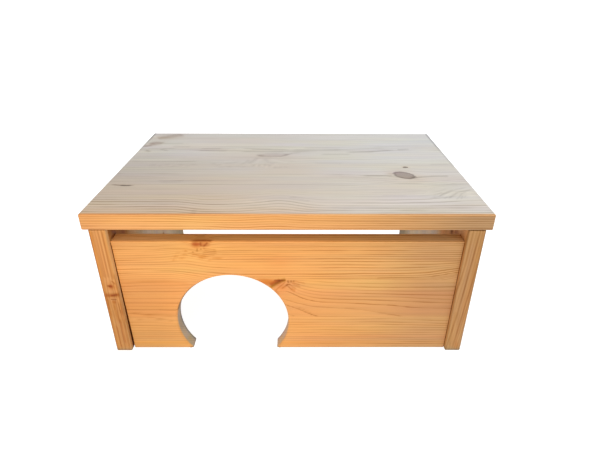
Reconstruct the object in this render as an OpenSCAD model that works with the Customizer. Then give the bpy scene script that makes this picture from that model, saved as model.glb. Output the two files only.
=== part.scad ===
// Guinea pig hideout: four pine boards, glued and dowelled.
// X runs left to right, Y front to back, Z up.
// The origin is on the floor, under the middle of the roof board.

/* [Overall size] */
// Width of the roof board, left to right
roof_w = 420; // [380:1:560]
// Depth of the roof board and of the side boards, front to back
depth = 278; // [230:1:400]
// Height from the floor to the top of the roof board
total_h = 181; // [165:1:260]

/* [Boards] */
// Thickness of every board
board_t = 18; // [16:0.5:24]
// How far the roof board reaches past each side board
roof_overhang = 6.5; // [2:0.5:30]
// How far the front board stands back from the front edges of the side boards
front_recess = 4.9; // [1:0.1:30]
// Height of the ventilation slot between the front board and the roof board
slot_h = 16; // [6:0.5:30]
// Radius of the sanded edges of the boards
edge_r = 1.5; // [0.5:0.1:3]
// Radius of the edges that are cut square and only dulled, where one board butts against another
joint_r = 0.5; // [0.3:0.1:1.5]

/* [Doorway] */
// Radius of the round doorway
door_r = 63.5; // [45:0.5:75]
// Height of the doorway's centre above the floor
door_z = 40; // [30:0.5:55]
// Place of the doorway's centre, left (minus) or right (plus) of the middle
door_x = -64; // [-90:0.5:90]
// Radius of the rounded edge of the doorway, front and back
door_edge_r = 3; // [1:0.25:5]

/* [Dowels] */
// Diameter of the drilled dowel holes
bore_d = 8; // [6:0.5:10]
// Length of a dowel
dowel_l = 30; // [26:1:36]
// How deep a dowel goes into the face of a board
face_depth = 11; // [8:0.5:12]
// Distance between neighbouring dowels along the top of a side board
roof_dowel_pitch = 96; // [50:1:100]
// Number of dowels along the top of a side board
roof_dowel_count = 3; // [2:1:3]
// Distance between the two dowels in each end of the front board
front_dowel_pitch = 88; // [50:1:100]

/* [Hidden] */
$fn = 96;

pine_pale = [0.86, 0.77, 0.66];
pine_warm = [0.91, 0.67, 0.41];
pine_front = [0.93, 0.69, 0.42];
beech = [0.82, 0.66, 0.48];

// Heights and half widths that follow from the sizes above
side_h = total_h - board_t;
outer_x = roof_w / 2 - roof_overhang;
inner_x = outer_x - board_t;
mid_x = outer_x - board_t / 2;
front_y = -depth / 2 + front_recess;
front_h = side_h - slot_h;

// A dowel is a glue film thinner than its hole, and each hole is a little deeper than the dowel goes
glue = 0.05;
spare = 1;
dowel_r = bore_d / 2 - glue;
end_depth = dowel_l - face_depth;

// Places of the dowels
roof_dowel_y = [for (i = [0 : roof_dowel_count - 1]) (i - (roof_dowel_count - 1) / 2) * roof_dowel_pitch];
front_dowel_z = [for (i = [-0.5, 0.5]) front_h / 2 + i * front_dowel_pitch];
front_dowel_y = front_y + board_t / 2;

// Rectangle centred on the origin, with corners of radius low at its lower side and high at its upper side
module round_rect(a, b, low, high) {
    difference() {
        square([a, b], center = true);
        for (i = [-1, 1]) {
            translate([i * a / 2, -b / 2]) square(2 * low, center = true);
            translate([i * a / 2, b / 2]) square(2 * high, center = true);
        }
    }
    for (i = [-1, 1]) {
        translate([i * (a / 2 - low), low - b / 2]) circle(low);
        translate([i * (a / 2 - high), b / 2 - high]) circle(high);
    }
}

// Board centred on the origin. Upright edges have radius up_r, edges along X have radius x_low
// at the bottom and x_high at the top, and edges along Y have y_low and y_high
module board(sx, sy, sz, up_r, x_low, x_high, y_low, y_high) {
    intersection() {
        linear_extrude(sz + 2, center = true) round_rect(sx, sy, up_r, up_r);
        rotate([90, 0, 0]) linear_extrude(sy + 2, center = true) round_rect(sx, sz, y_low, y_high);
        rotate([90, 0, 90]) linear_extrude(sx + 2, center = true) round_rect(sy, sz, x_low, x_high);
    }
}

// Blind hole for a dowel: starts at the origin and goes down
module dowel_hole(deep) {
    translate([0, 0, -deep - spare]) cylinder(h = deep + spare + 1, d = bore_d);
}

// Dowel with chamfered ends: the origin is at the joint, with deep_up above it
module dowel(deep_up) {
    cham = 0.8;
    translate([0, 0, deep_up - dowel_l]) rotate_extrude()
        polygon([[0, 0], [dowel_r - cham, 0], [dowel_r, cham],
                 [dowel_r, dowel_l - cham], [dowel_r - cham, dowel_l], [0, dowel_l]]);
}

// Round cutter for the doorway, along +Y from the front face, with a rounded lip at both faces
module door_cutter() {
    rotate([-90, 0, 0]) rotate_extrude() difference() {
        translate([0, -2]) square([door_r + door_edge_r, board_t + 4]);
        translate([door_r, door_edge_r]) square([door_edge_r + 1, board_t - 2 * door_edge_r]);
        for (v = [door_edge_r, board_t - door_edge_r])
            translate([door_r + door_edge_r, v]) circle(door_edge_r);
    }
}

// Roof: holes in the underside, over the middle of each side board
module roof_board() {
    color(pine_pale) difference() {
        translate([0, 0, total_h - board_t / 2]) board(roof_w, depth, board_t, edge_r, edge_r, edge_r, edge_r, edge_r);
        for (s = [-1, 1], y = roof_dowel_y)
            translate([s * mid_x, y, side_h]) mirror([0, 0, 1]) dowel_hole(face_depth);
    }
}

// Side board: holes in the top end for the roof, and in the inner face for the front board
module side_board(s) {
    difference() {
        translate([s * mid_x, 0, side_h / 2]) board(board_t, depth, side_h, edge_r, edge_r, joint_r, edge_r, joint_r);
        for (y = roof_dowel_y)
            translate([s * mid_x, y, side_h]) dowel_hole(end_depth);
        for (z = front_dowel_z)
            translate([s * inner_x, front_dowel_y, z]) rotate([0, -s * 90, 0]) dowel_hole(face_depth);
    }
}
module left_side_board() { color(pine_warm) side_board(-1); }
module right_side_board() { color(pine_warm) side_board(1); }

// Front board: round doorway that meets the floor, and holes in both ends
module front_board() {
    color(pine_front) difference() {
        translate([0, front_y + board_t / 2, front_h / 2]) board(2 * inner_x, board_t, front_h, joint_r, edge_r, edge_r, joint_r, joint_r);
        translate([door_x, front_y, door_z]) door_cutter();
        for (s = [-1, 1], z = front_dowel_z)
            translate([s * inner_x, front_dowel_y, z]) rotate([0, s * 90, 0]) dowel_hole(end_depth);
    }
}

// Rows of dowels
module roof_dowels(s) {
    for (y = roof_dowel_y) translate([s * mid_x, y, side_h]) dowel(face_depth);
}
module front_dowels(s) {
    for (z = front_dowel_z)
        translate([s * inner_x, front_dowel_y, z]) rotate([0, s * 90, 0]) dowel(face_depth);
}
module roof_left_dowels() { color(beech) roof_dowels(-1); }
module roof_right_dowels() { color(beech) roof_dowels(1); }
module front_left_dowels() { color(beech) front_dowels(-1); }
module front_right_dowels() { color(beech) front_dowels(1); }

roof_board();
left_side_board();
right_side_board();
front_board();
roof_left_dowels();
roof_right_dowels();
front_left_dowels();
front_right_dowels();
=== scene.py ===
import math

import bmesh
import bpy
import numpy as np
from mathutils import Matrix, Vector


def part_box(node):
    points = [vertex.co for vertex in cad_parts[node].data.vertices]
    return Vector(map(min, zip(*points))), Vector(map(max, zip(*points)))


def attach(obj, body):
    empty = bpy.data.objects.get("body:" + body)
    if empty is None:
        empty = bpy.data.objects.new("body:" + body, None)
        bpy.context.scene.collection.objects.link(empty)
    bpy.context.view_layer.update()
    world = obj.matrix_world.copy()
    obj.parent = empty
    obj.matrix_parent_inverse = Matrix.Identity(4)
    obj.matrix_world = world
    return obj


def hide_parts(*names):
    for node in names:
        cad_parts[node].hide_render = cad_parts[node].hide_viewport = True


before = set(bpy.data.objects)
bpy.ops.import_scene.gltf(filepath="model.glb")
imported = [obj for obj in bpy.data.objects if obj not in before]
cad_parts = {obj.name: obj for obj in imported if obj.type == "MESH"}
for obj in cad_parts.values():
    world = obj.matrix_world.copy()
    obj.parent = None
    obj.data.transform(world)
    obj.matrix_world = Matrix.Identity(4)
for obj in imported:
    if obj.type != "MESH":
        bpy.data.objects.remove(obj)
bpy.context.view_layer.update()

MM = 0.001

# Sizes of the frame in millimetres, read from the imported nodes
def node_box(name):
    lo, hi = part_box(name)
    return np.array(lo) * 1000.0, np.array(hi) * 1000.0

ROOF_LO, ROOF_HI = node_box("roof_board")
LEFT_LO, LEFT_HI = node_box("left_side_board")
RIGHT_LO, RIGHT_HI = node_box("right_side_board")
FRONT_LO, FRONT_HI = node_box("front_board")
DOOR_X, DOOR_Z, DOOR_R = -64.0, 40.0, 63.5
EDGE_R, JOINT_R, DOOR_EDGE_R = 1.5, 0.5, 3.0


# ---------------------------------------------------------------- smooth noise on arrays
def hash01(ix, iy, iz, seed):
    with np.errstate(over="ignore"):
        h = (ix.astype(np.uint32) * np.uint32(0x8DA6B343)) ^ (iy.astype(np.uint32) * np.uint32(0xD8163841))
        h ^= iz.astype(np.uint32) * np.uint32(0xCB1AB31F)
        h ^= np.uint32((seed * 0x9E3779B1) & 0xFFFFFFFF)
        h ^= h >> np.uint32(15)
        h *= np.uint32(0x2C1B3C6D)
        h ^= h >> np.uint32(12)
        h *= np.uint32(0x297A2D39)
        h ^= h >> np.uint32(15)
    return h.astype(np.float64) / 4294967295.0


def noise(x, y=0.0, z=0.0, seed=0):
    """Smooth value noise, about -1 to 1."""
    x, y, z = np.broadcast_arrays(np.asarray(x, float), np.asarray(y, float), np.asarray(z, float))
    fx, fy, fz = np.floor(x), np.floor(y), np.floor(z)
    ix, iy, iz = (f.astype(np.int64) for f in (fx, fy, fz))
    tx, ty, tz = (t * t * t * (t * (t * 6 - 15) + 10) for t in (x - fx, y - fy, z - fz))
    total = np.zeros(x.shape)
    for a in (0, 1):
        wa = tx if a else 1 - tx
        for b in (0, 1):
            wb = ty if b else 1 - ty
            for c in (0, 1):
                wc = tz if c else 1 - tz
                total += wa * wb * wc * hash01(ix + a, iy + b, iz + c, seed)
    return total * 2 - 1


def smooth(a, b, x):
    t = np.clip((x - a) / (b - a), 0, 1)
    return t * t * (3 - 2 * t)


def bump(x, mid, wide):
    """Soft hill of height 1, about twice wide across."""
    return np.exp(-(((x - mid) / wide) ** 2))


# ---------------------------------------------------------------- wood: staves, growth rings and knots
# A board has coordinates u along the grain, v across the board and w into its thickness, in mm.
# A stave is one strip of an edge-glued board. Its growth rings cross its face in the lines listed
# as (ring number, [(u, v), ...]), where the dark latewood is, and lean into the thickness by tilt,
# with a bow of radius bow. A stave with flat set has its rings along the broad face instead: its
# listed lines are then depths under that face. width is how wide its dark lines are.
def stave(lo, hi, rings, tilt=0.5, bow=0.0, seed=1, wavy=0.3, jitter=0.25, contrast=1.0, width=1.0, flat=None):
    return dict(lo=lo, hi=hi, rings=rings, tilt=tilt, bow=bow, seed=seed, wavy=wavy, jitter=jitter,
                contrast=contrast, width=width, flat=flat)


# A knot is centred at u, v on the face, ru by rv in half size, turned by turn degrees. It leans along
# u and v by lean (mm per mm of depth) and shrinks by taper per mm. fill is how brown it is, rim how
# dark its bark ring is, push how far it pushes the rings aside, halo how far its brown spreads and
# red how red it is.
def knot(u, v, ru, rv, stave, turn=0.0, lean=(0.0, 0.0), taper=0.0, fill=0.6, rim=0.6, push=1.0, halo=0.5, red=0.5, stretch=0.55):
    return dict(u=u, v=v, ru=ru, rv=rv, stave=stave, turn=math.radians(turn), lean=lean, taper=taper, fill=fill,
                rim=rim, push=push, halo=halo, red=red, stretch=stretch)


def ring_table(st, lo, hi):
    """Places of the listed rings on a 2 mm lattice along u, rounded off so that no line has a corner."""
    grid = np.arange(lo - 20, hi + 20.1, 2.0)
    numbers = np.array([n for n, _ in st["rings"]], float)
    kernel = np.exp(-(np.arange(-5, 6) * 2.0 / 6.0) ** 2)
    kernel /= kernel.sum()
    rows = []
    for _, points in st["rings"]:
        pu, pv = np.array(points, float).T
        row = np.interp(grid, pu, pv)
        padded = np.concatenate([np.full(5, row[0]), row, np.full(5, row[-1])])
        rows.append(np.convolve(padded, kernel, mode="valid"))
    return grid, numbers, np.array(rows)


def knot_space(k, u, v, w):
    """Offsets from a knot's axis in its own turned frame, and its normalised radius (1 at the bark)."""
    du, dv = u - k["u"] - k["lean"][0] * w, v - k["v"] - k["lean"][1] * w
    c, s = math.cos(k["turn"]), math.sin(k["turn"])
    a, b = du * c + dv * s, -du * s + dv * c
    size = np.maximum(1.0 - k["taper"] * w, 0.15)
    return a, b, np.hypot(a / (k["ru"] * size), b / (k["rv"] * size)), du, dv


def grow(st, knots, u, v, w):
    """Ring coordinate, distance across the fibres and width of a ring, at points in a stave."""
    grid, numbers, rows = st["table"]
    if st["flat"] is not None:
        c = w + (v - st["lo"]) * st["flat"]
        v = (v - st["lo"]) * 0.2
    else:
        c = v + w * st["tilt"]
        if st["bow"]:
            c = c + ((w + (v - 0.5 * (st["lo"] + st["hi"])) * 0.25) ** 2) / (2 * st["bow"])
        # the fibres part round each knot and close again behind it
        for k in knots:
            a, b, r, du, dv = knot_space(k, u, v, w)
            rr = np.hypot(du * k["stretch"] / k["rv"], dv / k["rv"])
            c = c - dv * 0.85 * k["push"] / np.maximum(rr, 1.0) ** 2
    c = c + st["wavy"] * (noise(u / 46.0, c / 13.0, w / 30.0, st["seed"]) * 1.6 + 0.45 * noise(u / 15.0, c / 5.0, w / 12.0, st["seed"] + 7))
    # place among the listed rings
    at = np.clip((u - grid[0]) / 2.0, 0, len(grid) - 1.001)
    i = at.astype(int)
    f = at - i
    lines = rows[:, i] * (1 - f) + rows[:, i + 1] * f
    if lines[0].mean() > lines[-1].mean():
        lines, count = lines[::-1], numbers[::-1]
    else:
        count = numbers
    s = np.full(u.shape, np.nan)
    gap = np.ones(u.shape)
    for n in range(len(count) - 1):
        a0, a1 = lines[n], lines[n + 1]
        wide = np.maximum(a1 - a0, 0.3)
        t = (c - a0) / wide
        inside = np.isnan(s) & ((t < 1) if n < len(count) - 2 else True)
        s = np.where(inside, count[n] + t * (count[n + 1] - count[n]), s)
        gap = np.where(inside, wide / abs(count[n + 1] - count[n]), gap)
    s = s + st["jitter"] * noise(s * 0.9, 0.5, 0.5, st["seed"] + 31)
    return s, c, gap / st["width"]


# ---------------------------------------------------------------- marks
# A mark is a streak or a blot that colours the wood. Its colour multiplies the wood's own.
def streak(points, wide, colour, soft=0.15):
    return dict(points=points, wide=wide, colour=colour, soft=soft)


def blot(u, v, ru, rv, colour, turn=0.0, power=2.0):
    return dict(at=(u, v), size=(ru, rv), colour=colour, turn=math.radians(turn), power=power)


def paint(tint, a, b, marks, mask):
    """Multiplies the colours in tint by the marks at places a, b, as strongly as mask says."""
    for m in marks:
        if "points" in m:
            pts = np.array(m["points"], float)
            reach = 3 * m["wide"]
            near = np.nonzero((a > pts[:, 0].min() - reach) & (a < pts[:, 0].max() + reach) &
                              (b > pts[:, 1].min() - reach) & (b < pts[:, 1].max() + reach) & (mask > 0.01))[0]
            if not len(near):
                continue
            x, y = a[near], b[near]
            best = np.full(len(near), 1e9)
            along = np.zeros(len(near))
            total = np.hypot(*np.diff(pts, axis=0).T).sum()
            done = 0.0
            for p, q in zip(pts[:-1], pts[1:]):
                d = q - p
                size = math.hypot(*d)
                t = np.clip(((x - p[0]) * d[0] + (y - p[1]) * d[1]) / size ** 2, 0, 1)
                r = np.hypot(x - p[0] - t * d[0], y - p[1] - t * d[1])
                closer = r < best
                best = np.where(closer, r, best)
                along = np.where(closer, (done + t * size) / total, along)
                done += size
            g = np.exp(-(best / m["wide"]) ** 2)
            g = g * smooth(0.0, m["soft"], along + 1e-6) * smooth(1.0, 1.0 - m["soft"], along - 1e-6)
        else:
            c, s = math.cos(m["turn"]), math.sin(m["turn"])
            da, db = a - m["at"][0], b - m["at"][1]
            r = np.hypot((da * c + db * s) / m["size"][0], (-da * s + db * c) / m["size"][1])
            near = np.nonzero((r < 3) & (mask > 0.01))[0]
            g = np.exp(-r[near] ** m["power"])
        g = (g * mask[near])[:, None]
        tint[near] *= 1 + g * (np.array(m["colour"]) - 1)
    return tint


def shade(light, warm, pink):
    """Colour multiplier from lightness, warmth (red up, blue down) and pinkness (green down)."""
    return np.stack([(1 + light) * (1 + 0.25 * warm), (1 + light) * (1 - pink), (1 + light) * (1 - warm)], 1)


# ---------------------------------------------------------------- meshes
def to_object(name, bm):
    mesh = bpy.data.meshes.new(name)
    bm.normal_update()
    bm.to_mesh(mesh)
    bm.free()
    ob = bpy.data.objects.new(name, mesh)
    bpy.context.scene.collection.objects.link(ob)
    return ob


def rounded(name, bm, radius_of, segments):
    """Rounds each edge of a blank by the radius that radius_of gives for it, in mm."""
    ob = to_object(name, bm)
    mesh = ob.data
    weights = mesh.attributes.new("bevel_weight_edge", "FLOAT", "EDGE")
    biggest = 3.0
    co = np.empty(len(mesh.vertices) * 3, np.float32)
    mesh.vertices.foreach_get("co", co)
    co = co.reshape(-1, 3)
    for e in mesh.edges:
        weights.data[e.index].value = radius_of(co[e.vertices[0]], co[e.vertices[1]]) / biggest
    mod = ob.modifiers.new("round", "BEVEL")
    mod.limit_method = "WEIGHT"
    mod.width = biggest
    mod.segments = segments
    mod.profile = 0.5
    mod.use_clamp_overlap = False
    mod.miter_outer = "MITER_ARC"
    mod.loop_slide = True
    graph = bpy.context.evaluated_depsgraph_get()
    done = bpy.data.meshes.new_from_object(ob.evaluated_get(graph), depsgraph=graph)
    bpy.data.objects.remove(ob)
    bpy.data.meshes.remove(mesh)
    out = bmesh.new()
    out.from_mesh(done)
    bpy.data.meshes.remove(done)
    return out


def cut(bm, axis, places):
    normal = Vector([1.0 if i == axis else 0.0 for i in range(3)])
    for p in places:
        bmesh.ops.bisect_plane(bm, geom=bm.verts[:] + bm.edges[:] + bm.faces[:], dist=0.02, plane_co=normal * p, plane_no=normal)


def lattice(lo, hi, step, extra=(), support=1.8):
    """Cut places between lo and hi about step apart, with the listed extra ones kept exactly."""
    must = sorted(set([round(lo + support, 4), round(hi - support, 4)] + [round(e, 4) for e in extra]))
    out = []
    for a, b in zip(must[:-1], must[1:]):
        n = max(1, int(round((b - a) / step)))
        out += [a + (b - a) * i / n for i in range(n)]
    return out + [must[-1]]


def refine(bm, wanted, cuts):
    """Splits the faces for which wanted(centres, normals) holds into a finer net."""
    bm.faces.ensure_lookup_table()
    centres = np.array([f.calc_center_median() for f in bm.faces])
    normals = np.array([f.normal for f in bm.faces])
    chosen = np.nonzero(wanted(centres, normals))[0]
    if not len(chosen):
        return
    edges = set()
    for i in chosen:
        edges.update(bm.faces[i].edges)
    bmesh.ops.subdivide_edges(bm, edges=list(edges), cuts=cuts, use_grid_fill=True)


def blank(lo, hi):
    bm = bmesh.new()
    made = bmesh.ops.create_cube(bm, size=1.0)
    lo, hi = Vector(lo), Vector(hi)
    for v in made["verts"]:
        v.co = Vector([(lo[i] + hi[i]) / 2 + v.co[i] * (hi[i] - lo[i]) for i in range(3)])
    return bm


def finish_board(name, node, bm, spec):
    """Turns a cut board into its final mesh, with relief, wood coordinates and material."""
    bmesh.ops.remove_doubles(bm, verts=bm.verts[:], dist=0.004)
    bmesh.ops.recalc_face_normals(bm, faces=bm.faces[:])
    ob = to_object(name, bm)
    mesh = ob.data
    nv = len(mesh.vertices)
    co = np.empty(nv * 3, np.float32)
    mesh.vertices.foreach_get("co", co)
    co = co.reshape(-1, 3).astype(np.float64)
    no = np.empty(nv * 3, np.float32)
    mesh.vertices.foreach_get("normal", no)
    no = no.reshape(-1, 3).astype(np.float64)
    co = spec["shape"](co, no)
    mesh.vertices.foreach_set("co", (co * MM).astype(np.float32).ravel())
    mesh.update()

    # corner data: each corner takes the stave of its own face, so the glue lines stay sharp
    nf, nl = len(mesh.polygons), len(mesh.loops)
    starts = np.empty(nf, np.int32)
    totals = np.empty(nf, np.int32)
    mesh.polygons.foreach_get("loop_start", starts)
    mesh.polygons.foreach_get("loop_total", totals)
    centre = np.empty(nf * 3, np.float32)
    mesh.polygons.foreach_get("center", centre)
    centre = centre.reshape(-1, 3).astype(np.float64) * 1000.0
    verts = np.empty(nl, np.int32)
    mesh.loops.foreach_get("vertex_index", verts)
    face_of = np.repeat(np.arange(nf), totals)
    order = np.argsort(np.repeat(starts, totals), kind="stable")
    face_of = face_of[order] if not np.all(np.diff(starts) > 0) else face_of
    P = co[verts]
    u, v, w = spec["uvw"](P)
    cu, cv, cw = spec["uvw"](centre)
    s_all = np.zeros(nl)
    gap = np.ones(nl)
    fib = np.zeros((nl, 3))
    line = np.ones(nl)
    kr = np.full(nl, 9.0)
    kinds = np.zeros((nl, 4))    # fill, rim, halo, red
    for n, st in enumerate(spec["staves"]):
        lo = -1e9 if n == 0 else st["lo"]
        hi = 1e9 if n == len(spec["staves"]) - 1 else st["hi"]
        pick = ((cv >= lo) & (cv < hi))[face_of]
        if not pick.any():
            continue
        st["table"] = ring_table(st, spec["u_range"][0], spec["u_range"][1])
        near = [k for k in spec["knots"] if k["stave"] == n]
        s, c, g = grow(st, near, u[pick], v[pick], w[pick])
        s_all[pick] = s + 64.0 * (n + 1) + spec["ring_base"]
        gap[pick] = g
        fib[pick] = np.stack([u[pick] + 500.0 * (n + 1), c, w[pick] + 37.0 * n], 1)
        line[pick] = st["contrast"]
        for k in near:
            a, b, r, du, dv = knot_space(k, u, v, w)
            r = r * (1 + 0.09 * noise(a / 5.0, b / 5.0, 0.3, 91) + 0.06 * noise(a / 2.0, b / 2.0, 0.3, 92))
            nearer = pick & (r < kr)
            kr = np.where(nearer, r, kr)
            kinds[nearer] = (k["fill"], k["rim"], k["halo"], k["red"])
    # the painted-light tone: where each corner stands between pale (painted cool top light), plain (painted shade) and
    # amber (painted warm front light), plus 2 on end grain
    lit_tone = spec["lit_tone"](P, centre[face_of])
    tint, own = spec["tones"](u, v, w)
    line = line * own

    def put(key, values, kind):
        made = mesh.attributes.new(key, kind, "CORNER")
        made.data.foreach_set("value" if kind == "FLOAT" else "vector", values.astype(np.float32).ravel())

    put("ring", s_all, "FLOAT")
    put("gap", gap, "FLOAT")
    put("fibre", fib, "FLOAT_VECTOR")
    put("tint", tint, "FLOAT_VECTOR")
    put("knot", np.stack([np.minimum(kr, 6.0), kinds[:, 0], kinds[:, 1]], 1), "FLOAT_VECTOR")
    put("knot_more", np.stack([kinds[:, 2], kinds[:, 3], line], 1), "FLOAT_VECTOR")
    put("lit_tone", lit_tone, "FLOAT")
    mesh.polygons.foreach_set("use_smooth", np.ones(nf, bool))
    mesh.materials.append(spec["material"])
    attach(ob, "root")
    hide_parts(node)
    return ob


# ---------------------------------------------------------------- node graphs
class Graph:
    def __init__(self, name):
        self.mat = bpy.data.materials.new(name)
        self.mat.use_nodes = True
        self.tree = self.mat.node_tree
        self.tree.nodes.clear()
        self.count = 0

    def add(self, kind, **props):
        n = self.tree.nodes.new(kind)
        for k, v in props.items():
            setattr(n, k, v)
        n.location = (200 * (self.count % 12), -220 * (self.count // 12))
        self.count += 1
        return n

    def link(self, value, socket):
        if isinstance(value, bpy.types.NodeSocket):
            self.tree.links.new(value, socket)
        elif isinstance(value, (tuple, list)) and socket.type == "RGBA" and len(value) == 3:
            socket.default_value = (*value, 1.0)
        else:
            socket.default_value = value

    def math(self, op, a, b=None, c=None, clamp=False):
        n = self.add("ShaderNodeMath", operation=op, use_clamp=clamp)
        for i, x in enumerate((a, b, c)):
            if x is not None:
                self.link(x, n.inputs[i])
        return n.outputs[0]

    def vec(self, op, a, b=None):
        n = self.add("ShaderNodeVectorMath", operation=op)
        self.link(a, n.inputs[0])
        if b is not None:
            self.link(b, n.inputs[1])
        return n.outputs[0]

    def step(self, x, a, b, lo=0.0, hi=1.0):
        n = self.add("ShaderNodeMapRange", interpolation_type="SMOOTHSTEP")
        n.clamp = True
        self.link(x, n.inputs["Value"])
        for key, val in (("From Min", a), ("From Max", b), ("To Min", lo), ("To Max", hi)):
            self.link(val, n.inputs[key])
        return n.outputs["Result"]

    def attribute(self, name):
        return self.add("ShaderNodeAttribute", attribute_name=name)

    def split(self, vector):
        n = self.add("ShaderNodeSeparateXYZ")
        self.link(vector, n.inputs[0])
        return n.outputs

    def join(self, x, y, z):
        n = self.add("ShaderNodeCombineXYZ")
        for i, v in enumerate((x, y, z)):
            self.link(v, n.inputs[i])
        return n.outputs[0]

    def noise(self, vector, scale=1.0, detail=2.0, rough=0.5, lacunarity=2.0):
        n = self.add("ShaderNodeTexNoise", noise_dimensions="3D")
        self.link(vector, n.inputs["Vector"])
        n.inputs["Scale"].default_value = scale
        n.inputs["Detail"].default_value = detail
        n.inputs["Roughness"].default_value = rough
        n.inputs["Lacunarity"].default_value = lacunarity
        return n.outputs["Fac"]

    def white(self, w):
        n = self.add("ShaderNodeTexWhiteNoise", noise_dimensions="1D")
        self.link(w, n.inputs["W"])
        return n.outputs["Value"]

    def mix(self, fac, a, b, blend="MIX"):
        n = self.add("ShaderNodeMix", data_type="RGBA", blend_type=blend)
        n.clamp_factor = True
        self.link(fac, n.inputs["Factor"])
        self.link(a, n.inputs[6])
        self.link(b, n.inputs[7])
        return n.outputs[2]

    def ramp(self, fac, stops, interpolation="LINEAR"):
        n = self.add("ShaderNodeValToRGB")
        n.color_ramp.interpolation = interpolation
        el = n.color_ramp.elements
        while len(el) < len(stops):
            el.new(0.5)
        for e, (p, c) in zip(el, stops):
            e.position = p
            e.color = (*c, 1.0)
        self.link(fac, n.inputs["Fac"])
        return n.outputs["Color"]

    def bump(self, height, distance, strength=1.0, normal=None):
        n = self.add("ShaderNodeBump")
        n.inputs["Strength"].default_value = strength
        n.inputs["Distance"].default_value = distance
        self.link(height, n.inputs["Height"])
        if normal is not None:
            self.link(normal, n.inputs["Normal"])
        return n.outputs["Normal"]


# Colours of three tones of one pine, which are painted light: pale for the cool light from above on the roof top, plain
# for the shade inside, amber for the warm light from the front outside
PALE, LATE_PALE = (0.600, 0.525, 0.450), (0.390, 0.315, 0.245)
PLAIN, LATE_PLAIN = (0.540, 0.405, 0.275), (0.390, 0.250, 0.145)
AMBER, LATE_AMBER = (0.745, 0.362, 0.121), (0.522, 0.202, 0.047)
ACCENTS = []    # (ring number, strength) of the rings that stand out


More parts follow.
